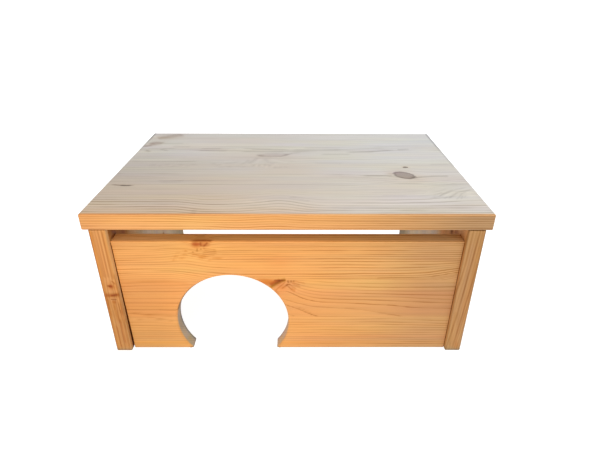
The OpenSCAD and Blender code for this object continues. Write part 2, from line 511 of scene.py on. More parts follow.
def pine_material(name, sheen):
    g = Graph(name)
    ring = g.attribute("ring").outputs["Fac"]
    fibre = g.attribute("fibre").outputs["Vector"]
    gap = g.attribute("gap").outputs["Fac"]
    tint = g.attribute("tint").outputs["Vector"]
    kn = g.split(g.attribute("knot").outputs["Vector"])
    more = g.split(g.attribute("knot_more").outputs["Vector"])
    lit_tone = g.attribute("lit_tone").outputs["Fac"]

    # end grain shows where the surface crosses the fibres: fibre[0] is constant there, which the
    # mesh says by adding 2 to the painted-light tone
    end = g.math("GREATER_THAN", lit_tone, 1.5)
    hue = g.math("SUBTRACT", lit_tone, g.math("MULTIPLY", end, 2.0))

    # stretched fibre noise: long streaks, short fibres and pores
    long_v = g.vec("MULTIPLY", fibre, (0.007, 0.16, 0.16))
    mid_v = g.vec("MULTIPLY", fibre, (0.03, 1.1, 1.1))
    fine_v = g.vec("MULTIPLY", fibre, (0.09, 4.2, 4.2))
    bands = g.noise(long_v, 1.0, 2.0, 0.5)
    streak = g.noise(mid_v, 1.0, 3.0, 0.6)
    hair = g.noise(fine_v, 1.0, 3.0, 0.65)

    # growth rings: each ends in a dark line of about a millimetre, with a soft rise before it
    wob = g.math("MULTIPLY", g.math("SUBTRACT", streak, 0.5), 0.16)
    rg = g.math("ADD", ring, wob)
    number = g.math("FLOOR", g.math("ADD", rg, 0.5))
    off = g.math("MULTIPLY", g.math("SUBTRACT", rg, number), gap)
    dark = g.white(number)
    core = g.math("MULTIPLY", g.step(off, -1.25, -0.1), g.step(off, 0.15, 0.65, 1.0, 0.0))
    own = g.math("MULTIPLY_ADD", g.math("POWER", dark, 1.4), 0.58, 0.24)
    for k, amount in ACCENTS:
        own = g.math("MULTIPLY_ADD", g.math("COMPARE", number, float(k), 0.25), amount, own)
    along = g.join(g.math("MULTIPLY", g.split(fibre)[0], 0.018), g.math("MULTIPLY", number, 3.1), 0.5)
    fade = g.step(g.noise(along, 1.0, 1.0), 0.32, 0.62, 0.30, 1.0)
    f = g.math("FRACT", rg)
    soft = g.math("MULTIPLY", g.step(f, 0.25, 1.0), g.step(f, 0.97, 1.0, 1.0, 0.0))
    late = g.math("MULTIPLY", core, g.math("MULTIPLY", own, fade))
    late = g.math("MULTIPLY_ADD", soft, 0.12, late)
    late = g.math("MULTIPLY", late, more[2], clamp=True)
    thread = g.step(streak, 0.50, 0.80, 0.0, 0.22)

    # the pale, plain and amber tones are painted light, not the wood's own colour: cool light from above, shade inside,
    # warm light from the front
    early_c = g.ramp(hue, [(0.0, PALE), (0.5, PLAIN), (1.0, AMBER)])
    late_c = g.ramp(hue, [(0.0, LATE_PALE), (0.5, LATE_PLAIN), (1.0, LATE_AMBER)])
    col = g.mix(g.math("ADD", late, thread, clamp=True), early_c, late_c)

    # broad bands and fine fibres change the value a little
    level = g.math("MULTIPLY_ADD", g.math("SUBTRACT", bands, 0.5), 0.26, 1.0)
    level = g.math("MULTIPLY", level, g.math("MULTIPLY_ADD", g.math("SUBTRACT", streak, 0.5), 0.14, 1.0))
    level = g.math("MULTIPLY", level, g.math("MULTIPLY_ADD", g.math("SUBTRACT", hair, 0.5), 0.16, 1.0))
    warm = g.math("MULTIPLY_ADD", g.math("SUBTRACT", bands, 0.5), -0.10, 1.0)
    col = g.mix(1.0, col, g.join(level, level, g.math("MULTIPLY", level, warm)), "MULTIPLY")

    # knots: brown heart with its own rings, dark bark ring and a stained halo
    r = kn[0]
    kring = g.math("MULTIPLY", r, 5.5)
    kf = g.math("FRACT", g.math("ADD", kring, g.math("MULTIPLY", hair, 0.8)))
    klate = g.step(kf, 0.3, 0.95)
    inside = g.step(r, 0.90, 1.04, 1.0, 0.0)
    heart = g.mix(more[1], (0.38, 0.225, 0.110), (0.40, 0.125, 0.014))
    heart = g.mix(g.step(hue, 0.0, 0.4, 0.85, 0.0), heart, (0.318, 0.268, 0.236))
    heart = g.mix(g.math("MULTIPLY", klate, 0.30), heart, g.mix(0.5, heart, (0.16, 0.075, 0.03)))
    rim = g.math("MULTIPLY", g.math("MULTIPLY", g.step(r, 0.74, 0.97), g.step(r, 1.0, 1.16, 1.0, 0.0)), kn[2])
    stain = g.math("MULTIPLY", g.step(r, 1.0, 2.6, 1.0, 0.0), g.math("MULTIPLY", more[0], 0.55))
    col = g.mix(stain, col, g.mix(1.0, col, (0.86, 0.66, 0.48), "MULTIPLY"))
    col = g.mix(g.math("MULTIPLY", inside, kn[1]), col, heart)
    col = g.mix(rim, col, g.mix(g.step(hue, 0.0, 0.4), (0.150, 0.118, 0.100), (0.16, 0.045, 0.006)))

    col = g.mix(1.0, col, tint, "MULTIPLY")

    # end grain drinks more light and shows its rings harder
    end_c = g.mix(1.0, col, g.mix(g.math("MULTIPLY", late, 0.8), (0.80, 0.72, 0.62), (0.60, 0.48, 0.38)), "MULTIPLY")
    col = g.mix(end, col, end_c)

    bsdf = g.add("ShaderNodeBsdfPrincipled")
    g.link(col, bsdf.inputs["Base Color"])
    rough = g.math("MULTIPLY_ADD", late, -0.10, 0.60)
    rough = g.math("MULTIPLY_ADD", g.math("SUBTRACT", hair, 0.5), 0.16, rough)
    rough = g.math("MULTIPLY_ADD", end, 0.15, rough, clamp=True)
    g.link(rough, bsdf.inputs["Roughness"])
    bsdf.inputs["IOR"].default_value = 1.48
    bsdf.inputs["Specular IOR Level"].default_value = sheen
    height = g.math("MULTIPLY_ADD", late, 0.5, g.math("MULTIPLY", hair, 0.45))
    height = g.math("MULTIPLY_ADD", streak, 0.4, height)
    height = g.math("MULTIPLY_ADD", rim, -1.5, height)
    g.link(g.bump(height, 0.00012, 0.7), bsdf.inputs["Normal"])
    out = g.add("ShaderNodeOutputMaterial")
    g.link(bsdf.outputs[0], out.inputs["Surface"])
    return g.mat


def beech_material():
    g = Graph("beech_dowel_wood")
    where = g.add("ShaderNodeTexCoord").outputs["Object"]
    axis_v = g.vec("MULTIPLY", where, (400.0, 900.0, 400.0))
    flecks = g.noise(axis_v, 1.0, 3.0, 0.6)
    wave = g.noise(g.vec("MULTIPLY", where, (150.0, 150.0, 150.0)), 1.0, 2.0, 0.5)
    level = g.math("MULTIPLY_ADD", g.math("SUBTRACT", flecks, 0.5), 0.35, 1.0)
    col = g.ramp(wave, [(0.3, (0.54, 0.345, 0.185)), (0.7, (0.68, 0.47, 0.28))])
    col = g.mix(1.0, col, g.join(level, level, level), "MULTIPLY")
    bsdf = g.add("ShaderNodeBsdfPrincipled")
    g.link(col, bsdf.inputs["Base Color"])
    g.link(g.math("MULTIPLY_ADD", flecks, 0.2, 0.5), bsdf.inputs["Roughness"])
    g.link(g.bump(flecks, 0.00015, 0.6), bsdf.inputs["Normal"])
    out = g.add("ShaderNodeOutputMaterial")
    g.link(bsdf.outputs[0], out.inputs["Surface"])
    return g.mat


# ---------------------------------------------------------------- the figure of each board
ROOF_TOP = ROOF_HI[2]
ROOF_BASE, FRONT_BASE, LEFT_BASE, RIGHT_BASE = 0, 1024, 2048, 3072

roof_staves = [
    stave(-139.0, -58.0, [
        (0, [(-210, -57), (0, -57), (70, -59), (120, -65), (150, -65), (180, -59), (210, -51)]),
        (3, [(-210, -72), (-100, -73), (0, -72), (40, -74), (110, -76), (150, -75), (180, -67), (210, -58)]),
        (6, [(-210, -86), (-113, -86), (-91, -88), (-60, -87), (-12, -82), (10, -84), (33, -88), (110, -89), (140, -88), (160, -83), (180, -76), (210, -66)]),
        (8, [(-210, -98), (-113, -98), (-91, -103), (-76, -103), (-50, -101), (-12, -92), (0, -94), (22, -101), (33, -103), (110, -104), (150, -102), (170, -97), (190, -91), (210, -88)]),
        (10, [(-210, -109.5), (-113, -109.5), (-100, -113), (-91, -115.5), (-76, -116.5), (-50, -114.5), (-30, -111), (-12, -106), (0, -107.5), (10, -111.5), (22, -116), (33, -118), (60, -118.5), (150, -118.5), (210, -118)]),
        (12, [(-210, -121), (-113, -121), (-91, -126.5), (-76, -127.5), (-50, -126), (-12, -119.5), (0, -120.5), (22, -127), (33, -128), (60, -128.5), (210, -128)]),
        (14, [(-210, -132), (-113, -132), (-91, -136.5), (-50, -136), (-12, -131.5), (22, -136.5), (60, -137.5), (210, -137.5)]),
        (18, [(-210, -156), (-113, -156), (-50, -160), (-12, -156), (22, -160), (60, -161), (210, -161)]),
    ], tilt=-2.2, bow=90.0, seed=11, wavy=0.35, width=1.7),
    stave(-58.0, -9.0, [
        (0, [(-210, -8), (210, -8)]),
        (3, [(-210, -30), (60, -32), (90, -34.2), (138, -34.4), (182, -34.4), (210, -33)]),
        (7, [(-210, -50), (-150, -50), (-60, -51), (0, -50), (60, -43), (100, -47), (130, -51), (165, -49), (210, -44)]),
        (9, [(-210, -60), (210, -58)]),
    ], tilt=0.35, seed=12, wavy=0.6, contrast=0.75, width=1.7),
    stave(-9.0, 48.0, [
        (0, [(-210, 50), (210, 50)]),
        (6, [(-210, 13), (-120, 14), (-60, 17), (0, 17), (40, 11), (100, 9), (145, 4), (175, 6), (210, 6.5)]),
        (10, [(-210, -9), (210, -8)]),
    ], tilt=1.6, bow=60.0, seed=13, wavy=0.8, contrast=0.65, width=1.8),
    stave(48.0, 105.0, [
        (0, [(-210, 104), (-150, 105), (0, 104), (70, 103), (140, 108), (210, 109)]),
        (5, [(-210, 78), (-150, 76), (-30, 74), (60, 72), (115, 74), (150, 78), (210, 79)]),
        (7, [(-210, 66), (-127, 66), (-60, 65), (0, 62), (20, 63), (73, 62.8), (110, 66), (130, 69), (170, 70), (210, 70)]),
        (9, [(-210, 58), (-127, 57.5), (-60, 55), (0, 54), (60, 52), (75, 51.5), (112, 53), (128, 57.5), (170, 60), (210, 60)]),
        (11, [(-210, 47), (-100, 46), (0, 44), (60, 42), (100, 43), (130, 48), (210, 50)]),
    ], tilt=-0.7, seed=14, wavy=0.4, contrast=0.8, width=2.0),
    stave(105.0, 139.0, [
        (0, [(-210, 140), (210, 140)]),
        (6, [(-210, 105), (210, 105)]),
    ], tilt=0.9, seed=15, wavy=0.4, contrast=0.6, width=2.0),
]

roof_knots = [
    knot(-183, 120, 12.5, 9.0, 4, turn=28, lean=(-0.25, 0.1), fill=0.10, rim=0.02, push=0.9, halo=0.20, red=0.25),
    knot(-194, 88.5, 9.0, 6.0, 3, turn=14, lean=(0.2, 0.0), fill=0.10, rim=0.02, push=0.9, halo=0.20, red=0.45),
    knot(-24, 40.5, 21.0, 6.4, 2, turn=1.5, lean=(1.6, 0.1), taper=0.01, fill=0.11, rim=0.08, push=0.7, halo=0.15, red=0.2),
    knot(139.2, -32.4, 13.7, 9.3, 1, turn=-38, lean=(0.15, -0.1), fill=0.90, rim=0.50, push=0.95, halo=0.25, red=0.25, stretch=0.6),
    knot(146.0, -5.6, 3.2, 2.2, 2, lean=(0.1, 0.0), fill=1.0, rim=1.0, push=1.0, halo=0.5, red=0.3),
]

SMUDGE = (0.915, 0.905, 0.90)
FAINT, RAY = (0.935, 0.93, 0.93), (0.87, 0.86, 0.86)
DIM, DUSK, DARK, LIGHT = (0.86, 0.85, 0.84), (0.72, 0.69, 0.66), (0.10, 0.085, 0.075), (1.06, 1.06, 1.06)
roof_marks = [
    # resin slit with its tail to the left edge
    streak([(-205, -62.6), (-196, -64.2), (-184, -65.4), (-175, -65.0)], 1.0, (0.45, 0.42, 0.40), 0.2),
    streak([(-194, -64.9), (-184, -65.5), (-179, -65.3)], 1.25, DARK, 0.3),
    # a soft fan under the long knot, ending in a row of pale and dark specks
    streak([(-42, 30), (-47, 18), (-53, 5)], 3.0, (0.89, 0.88, 0.875)), streak([(-34, 26), (-28, 13), (-19, 3)], 3.2, (0.90, 0.895, 0.905)), streak([(-39, 26), (-44, 8)], 2.8, (1.04, 1.035, 1.045)),
    streak([(-31, 18), (-24, 8), (-16, 1)], 2.8, (1.03, 1.025, 1.04)), streak([(-26, 24), (-12, 14), (0, 9)], 2.4, (1.035, 1.035, 1.055)), streak([(-24, 13), (-12, 7), (2, 5)], 1.8, (0.955, 0.95, 0.955)),
    streak([(-20, 22), (-6, 17), (8, 15)], 1.8, (0.96, 0.955, 0.96)), streak([(-52, 20), (-60, 6)], 2.2, (0.95, 0.945, 0.945)),
    blot(-45.5, 0.5, 2.4, 3.4, (0.87, 0.86, 0.85), -20), blot(-38.5, 0.5, 2.0, 3.6, (0.88, 0.87, 0.86)), blot(-31.5, 2, 2.2, 3.6, (0.88, 0.87, 0.87)), blot(-25.6, 0, 2.0, 3.8, (0.88, 0.87, 0.88), 20),
    blot(-18.3, -7.0, 2.8, 2.4, (0.89, 0.88, 0.88)), blot(-12.0, -6.6, 2.4, 2.2, (0.92, 0.91, 0.91)), blot(-4.5, -5.6, 3.0, 2.0, (0.92, 0.91, 0.91)),
    blot(-42, -1, 2.2, 3.6, (1.08, 1.075, 1.07)), blot(-35, -2, 2.0, 3.4, (1.07, 1.065, 1.06)), blot(-29, -5.5, 2.5, 3.4, (1.10, 1.09, 1.075)), blot(-22, -5, 2.4, 3.2, (1.09, 1.085, 1.075)), blot(-15, -3, 2.0, 2.6, (1.04, 1.035, 1.04)),
    # the long knot is darkest at its left end
    blot(-39, 37.5, 5.5, 4.2, (0.82, 0.80, 0.785), 6, 3.0), blot(-21, 38.6, 16, 5.2, (0.90, 0.875, 0.885), power=4.0), streak([(-46, 38), (-36, 33.6), (-24, 32.2), (-13, 33.2), (-3, 41.0), (3, 46.5)], 1.8, (0.78, 0.76, 0.755), 0.12), blot(-5.5, 41.5, 4.2, 3.4, (0.84, 0.82, 0.81), 30, 3.0), streak([(0, 45), (6, 48.2), (14, 50)], 1.8, (0.86, 0.84, 0.82), 0.1),
    streak([(-38, 45.2), (-24, 46), (-12, 45)], 1.5, RAY, 0.3),
    streak([(-3, 46), (14, 48.5), (30, 48)], 1.6, FAINT, 0.3), streak([(-28, 28.6), (-8, 30)], 1.6, LIGHT, 0.3), streak([(-55, 62.8), (-25, 63)], 1.8, (0.86, 0.84, 0.85), 0.1),
    # smudges along the glue line
    blot(-173, 1, 4.5, 2.6, SMUDGE, 20), blot(-164, -2, 3.0, 2.2, SMUDGE, -30), blot(-155, 2, 4.0, 2.4, SMUDGE, 10), blot(-147, -3, 3.4, 2.0, SMUDGE, 35),
    blot(-138, 1, 3.8, 2.6, SMUDGE, -20), blot(-129, -2, 3.0, 2.0, SMUDGE, 15), blot(-122, 2, 3.6, 2.2, SMUDGE, -10), blot(-168, 3, 3.0, 1.6, LIGHT), blot(-151, 0, 2.4, 1.6, LIGHT),
    blot(-134, -4, 3.0, 1.6, LIGHT), streak([(-182, -7), (-160, -8), (-140, -6), (-124, -8)], 1.8, FAINT),
    blot(-97, 6, 4.0, 3.0, SMUDGE, -50), blot(-90, 1, 5.0, 2.4, FAINT, 40), blot(-80, 7, 5.0, 2.0, SMUDGE, 20), blot(-71, 10, 6.0, 2.2, SMUDGE, 25), blot(-76, -5, 4.0, 2.6, SMUDGE, -20),
    blot(-65, -3, 4.0, 2.2, FAINT, 15), blot(-86, -7, 4.4, 2.2, FAINT, 10), blot(-60, 6, 3.6, 2.6, SMUDGE, 50), streak([(-86, 14), (-74, 16)], 1.6, LIGHT), blot(-84, 2, 4.0, 1.8, LIGHT, 30),
    blot(-55, 16, 2.6, 5.0, FAINT, 0), blot(-58, -5, 3.0, 2.4, SMUDGE, 0),
    # dark line along the edge of the third stave
    streak([(-207, 13.2), (-170, 13.4), (-130, 14.0), (-118, 14.4)], 1.6, (0.84, 0.82, 0.81), 0.1), streak([(-200, 17.5), (-130, 18.5)], 1.8, LIGHT),
    streak([(-155, -50.3), (-122, -50.5)], 1.2, DIM), streak([(-152, -47.4), (-124, -47.6)], 1.3, LIGHT), streak([(-150, -56), (-124, -56.5)], 1.2, DIM),
    # knots at the back left: their darker sides and the broken fibres in front of them
    streak([(-199, 112.6), (-192, 116.4), (-182, 119.6), (-173, 125.0), (-163, 129.6)], 8.6, (0.78, 0.73, 0.70), 0.07), blot(-189, 115.5, 8.0, 4.5, (0.92, 0.90, 0.88), 20, 3.0), streak([(-188, 121), (-176, 130), (-167, 133)], 1.5, (0.90, 0.88, 0.88)),
    blot(-194.5, 88.6, 8.8, 8.6, (0.79, 0.735, 0.725), 10, 4.0), blot(-185.5, 90, 3.2, 5.0, (0.82, 0.81, 0.78), 0, 3.0), streak([(-196, 88), (-201.5, 81), (-207, 74.5)], 6.0, (0.86, 0.81, 0.81), 0.05),
    streak([(-209, 73), (-203, 76), (-196, 80)], 2.8, (0.76, 0.71, 0.69)), blot(-203, 84, 4, 4, (1.05, 1.04, 1.05)),
    streak([(-184, 87.5), (-165, 88.8), (-153, 89.3)], 1.6, (0.80, 0.81, 0.80)), streak([(-168, 75), (-140, 74.5)], 2.2, DIM), streak([(-186, 79), (-165, 81)], 1.8, LIGHT),
    streak([(-182, 69.8), (-160, 70)], 1.4, (1.10, 1.10, 1.10)), streak([(-179, 65.4), (-160, 65.5)], 1.4, (0.78, 0.775, 0.77)), streak([(-181, 62.4), (-175, 59.8), (-168, 56)], 1.6, DUSK),
    streak([(-200, 58.5), (-195.5, 54.6), (-191.5, 51)], 2.3, DUSK), streak([(-176, 62), (-168, 60.5)], 1.3, LIGHT), streak([(-204, 68), (-196, 64)], 1.8, LIGHT),
    streak([(-128, 57.5), (-100, 56.5), (-85, 56)], 1.9, (0.72, 0.70, 0.68)), streak([(-126, 66), (-95, 65.5)], 1.8, (0.76, 0.74, 0.72)), streak([(-128, 62), (-76, 61)], 1.6, LIGHT), streak([(-70, 53), (-34, 52), (-4, 53.5)], 1.7, (0.78, 0.77, 0.76)),
    streak([(-70, 67), (-40, 63.5), (0, 62)], 1.8, (0.80, 0.79, 0.78)), streak([(0, 54), (40, 57)], 1.6, FAINT), streak([(10, 65), (70, 64.5)], 1.5, LIGHT), streak([(84, 57), (110, 59)], 1.5, LIGHT),
    streak([(75, 51.5), (110, 53), (126, 57), (146, 60.5)], 2.0, (0.72, 0.70, 0.68)), streak([(148, 62.5), (166, 65.5)], 1.9, (0.78, 0.77, 0.76)),
    streak([(40, 42.5), (84, 42.8)], 1.8, (0.80, 0.79, 0.78)), streak([(0, 60.8), (74, 60.0)], 1.8, (0.75, 0.73, 0.72)), streak([(15, 69), (74, 68)], 1.5, DIM), streak([(30, 7.5), (70, 7)], 1.8, FAINT), streak([(178, 4.5), (206, 5)], 1.8, DIM),
    # round knot: its wings, and pale wood in front of it
    streak([(88, -34.6), (108, -34.8), (126, -34.2)], 1.4, (0.76, 0.74, 0.72)), streak([(96, -38.6), (124, -38.4)], 1.5, LIGHT),
    streak([(150, -40.4), (160, -38.4), (172, -36.8), (192, -35.2)], 1.7, (0.70, 0.68, 0.66), 0.05), blot(148.6, -39.8, 3.4, 3.6, (0.68, 0.66, 0.64), -40), blot(124.5, -28, 5.5, 4.5, (0.90, 0.86, 0.82)), streak([(131, -37.2), (137, -42.2), (146, -43.4)], 1.5, (0.78, 0.76, 0.75), 0.1), blot(131, -25, 4.5, 4.0, (1.06, 1.02, 1.10), -40), streak([(154, -44), (172, -42), (188, -40)], 1.6, LIGHT),
    streak([(128, -45), (138, -48), (150, -45)], 2.2, LIGHT), streak([(127.5, -26), (131, -22.2), (139, -21.6), (147, -26.5)], 1.6, (0.80, 0.78, 0.78)),
    blot(139, -14, 14, 6, (0.97, 0.945, 0.94)),
    blot(146.0, -5.6, 2.6, 1.9, (0.55, 0.54, 0.53), power=3.0),
    # steep fibres near the front right corner
    streak([(150, -101), (162, -96), (174, -86), (188, -76), (205, -68)], 1.3, RAY), streak([(172, -101), (179, -93), (188, -83), (208, -75)], 1.3, (0.80, 0.78, 0.77)),
    streak([(180, -103), (186, -95), (192, -86), (200, -80)], 1.1, RAY), streak([(164, -94), (173, -85), (186, -75)], 1.2, RAY), blot(200, -91, 6, 8, (1.07, 1.07, 1.07)),
    streak([(176, -97), (184, -87), (192, -79)], 1.1, LIGHT), streak([(168, -96), (176, -88), (186, -79)], 1.0, LIGHT), streak([(158, -72), (178, -66), (208, -58)], 1.6, FAINT),
    streak([(157, -96), (163, -89), (172, -82)], 1.0, RAY), streak([(186, -101), (191, -92)], 1.0, RAY), streak([(151, -86), (158, -80)], 1.1, LIGHT), streak([(168, -100), (173, -96)], 1.0, RAY),
    streak([(160, -86), (168, -80), (180, -72)], 1.0, FAINT), streak([(183, -98), (188, -90)], 0.9, LIGHT), streak([(190, -99), (195, -91)], 0.9, FAINT),
    streak([(88, -84), (120, -84.5), (150, -80)], 1.3, FAINT), streak([(100, -92.5), (130, -92)], 1.3, FAINT),
    # rows along the front
    streak([(-60, -125.5), (-30, -124.0), (0, -127.5), (40, -128.6), (208, -127.8)], 1.3, (0.86, 0.85, 0.84), 0.1), streak([(36, -119.8), (90, -120), (208, -119.4)], 1.1, (0.82, 0.81, 0.80), 0.1),
    streak([(44, -112.2), (208, -112.6)], 1.0, (0.86, 0.85, 0.84), 0.15), streak([(50, -116.6), (208, -116.8)], 1.0, LIGHT, 0.1), streak([(90, -110), (208, -110)], 1.0, LIGHT, 0.1),
    streak([(-48, -109.5), (-34, -107), (-20, -104.6)], 1.0, LIGHT), streak([(-50, -112.5), (-34, -110.2), (-19, -110.2)], 1.1, LIGHT), streak([(0, -97.5), (10, -98.6)], 1.6, RAY), streak([(9, -100), (16, -104), (24, -106)], 1.2, RAY),
    streak([(-96, -128), (-94, -138)], 2.2, (0.86, 0.85, 0.84), 0.1),
]

front_staves = [
    stave(0.0, 48.0, [
        (0, [(-186, 54.0), (-160, 51.0), (-130, 48.0), (-60, 47.5), (40, 48.0), (186, 48.6)]),
        (1, [(-186, 44.5), (-168, 46.0), (-158, 46.4), (-146, 43.4), (-130, 40.4), (-60, 40.5), (0, 43.5), (60, 42.0), (110, 43.4), (150, 41.5), (186, 40.0)]),
        (3, [(-186, 34.5), (-130, 33.4), (0, 35.6), (100, 36.0), (186, 34.0)]),
        (5, [(-186, 26.5), (0, 27.4), (186, 27.0)]),
        (9, [(-186, 14.0), (0, 14.0), (186, 13.0)]),
        (13, [(-186, 1.5), (186, 0.5)]),
    ], tilt=0.9, seed=21, wavy=0.22, contrast=1.05),
    stave(48.0, 98.5, [
        (0, [(-186, 98.6), (-60, 98.8), (-8, 99.5), (8.4, 99.6), (29, 99.4), (57, 98.8), (92, 98.4), (186, 98.8)]),
        (1, [(-186, 93.6), (-137, 95.3), (-60, 96.0), (-8, 97.4), (8.4, 97.7), (29, 96.3), (57, 94.2), (92, 93.5), (186, 94.2)]),
        (3, [(-186, 86.0), (-120, 86.5), (-60, 90.0), (-8, 94.0), (5.6, 94.6), (19.5, 89.0), (36, 86.0), (78, 84.6), (133, 83.0), (186, 83.6)]),
        (5, [(-186, 79.0), (-120, 79.0), (-60, 84.0), (-10, 89.5), (0, 90.6), (15.3, 81.7), (36, 77.6), (57, 76.4), (119, 75.2), (175, 71.8), (186, 71.6)]),
        (6, [(-186, 73.0), (-120, 73.0), (-60, 80.0), (-12, 86.0), (-2.7, 87.0), (11, 79.6), (29, 74.0), (50, 72.3), (80, 71.8), (106, 70.6), (133, 69.2), (175, 67.1), (186, 66.8)]),
        (7, [(-186, 66.6), (-120, 66.4), (-60, 74.0), (-14, 82.0), (-2.7, 84.5), (15.3, 73.4), (33, 68.5), (57, 67.5), (80, 66.0), (92, 65.0), (119, 63.7), (140, 60.9), (161, 59.5), (186, 59.0)]),
        (8, [(-186, 61.8), (-120, 61.4), (-60, 66.0), (-20, 74.0), (-4, 73.0), (0, 69.2), (15.3, 65.0), (29, 61.6), (50, 60.6), (71, 59.0), (85, 57.2), (99, 54.6), (112, 51.2), (126, 48.1), (140, 46.0), (186, 44.0)]),
        (9, [(-186, 57.4), (-120, 56.6), (-60, 58.0), (-10, 66.0), (2.8, 62.3), (15.3, 56.0), (29, 48.4), (50, 44.0), (186, 36.0)]),
        (10, [(-186, 51.6), (-170, 50.6), (-130, 48.2), (-60, 47.0), (0, 50.0), (29, 40.0), (186, 28.0)]),
        (12, [(-186, 44.0), (-60, 38.0), (0, 40.0), (29, 30.0), (186, 18.0)]),
    ], tilt=-0.6, seed=22, wavy=0.18, jitter=0.0, contrast=1.0),
    stave(98.5, 147.0, [
        (0, [(-186, 147.0), (186, 147.0)]),
        (6, [(-186, 135.0), (-144, 135.6), (-110, 139.0), (-96, 137.0), (-80, 134.5), (0, 134.0), (186, 134.0)]),
        (9, [(-186, 126.3), (-144, 127.3), (-127, 128.7), (-110.5, 132.4), (-96.6, 130.0), (-85.5, 126.9), (-70, 126.2), (0, 126.0), (186, 126.0)]),
        (14, [(-186, 112.5), (-172, 113.0), (-130, 113.9), (-109, 113.0), (-88, 109.5), (-60, 106.7), (-5, 105.9), (78, 107.1), (120, 106.7), (151, 108.0), (186, 114.5)]),
        (16, [(-186, 107.4), (-144, 108.8), (-123, 108.8), (-102, 104.6), (-88, 102.0), (-60, 99.9), (-20, 99.4), (29, 100.4), (57, 101.0), (100, 101.0), (147, 101.5), (165, 104.0), (186, 109.0)]),
        (19, [(-186, 99.5), (-144, 100.5), (-123, 101.0), (-102, 96.6), (-60, 94.0), (29, 94.5), (100, 96.5), (147, 97.0), (165, 99.4), (186, 104.5)]),
        (22, [(-186, 92.0), (0, 88.0), (147, 90.0), (186, 96.0)]),
    ], tilt=0.5, seed=23, wavy=0.20, contrast=1.10),
]

front_knots = [
    knot(-93.5, 149.5, 9.0, 6.4, 2, turn=-4, lean=(0.1, 0.3), fill=0.15, rim=0.0, push=0.9, halo=0.4, red=1.0, stretch=0.7),
    knot(-10.0, 96.5, 6.0, 3.4, 1, turn=33, lean=(-0.3, 0.3), fill=0.12, rim=0.0, push=0.25, halo=0.3, red=1.0),
]

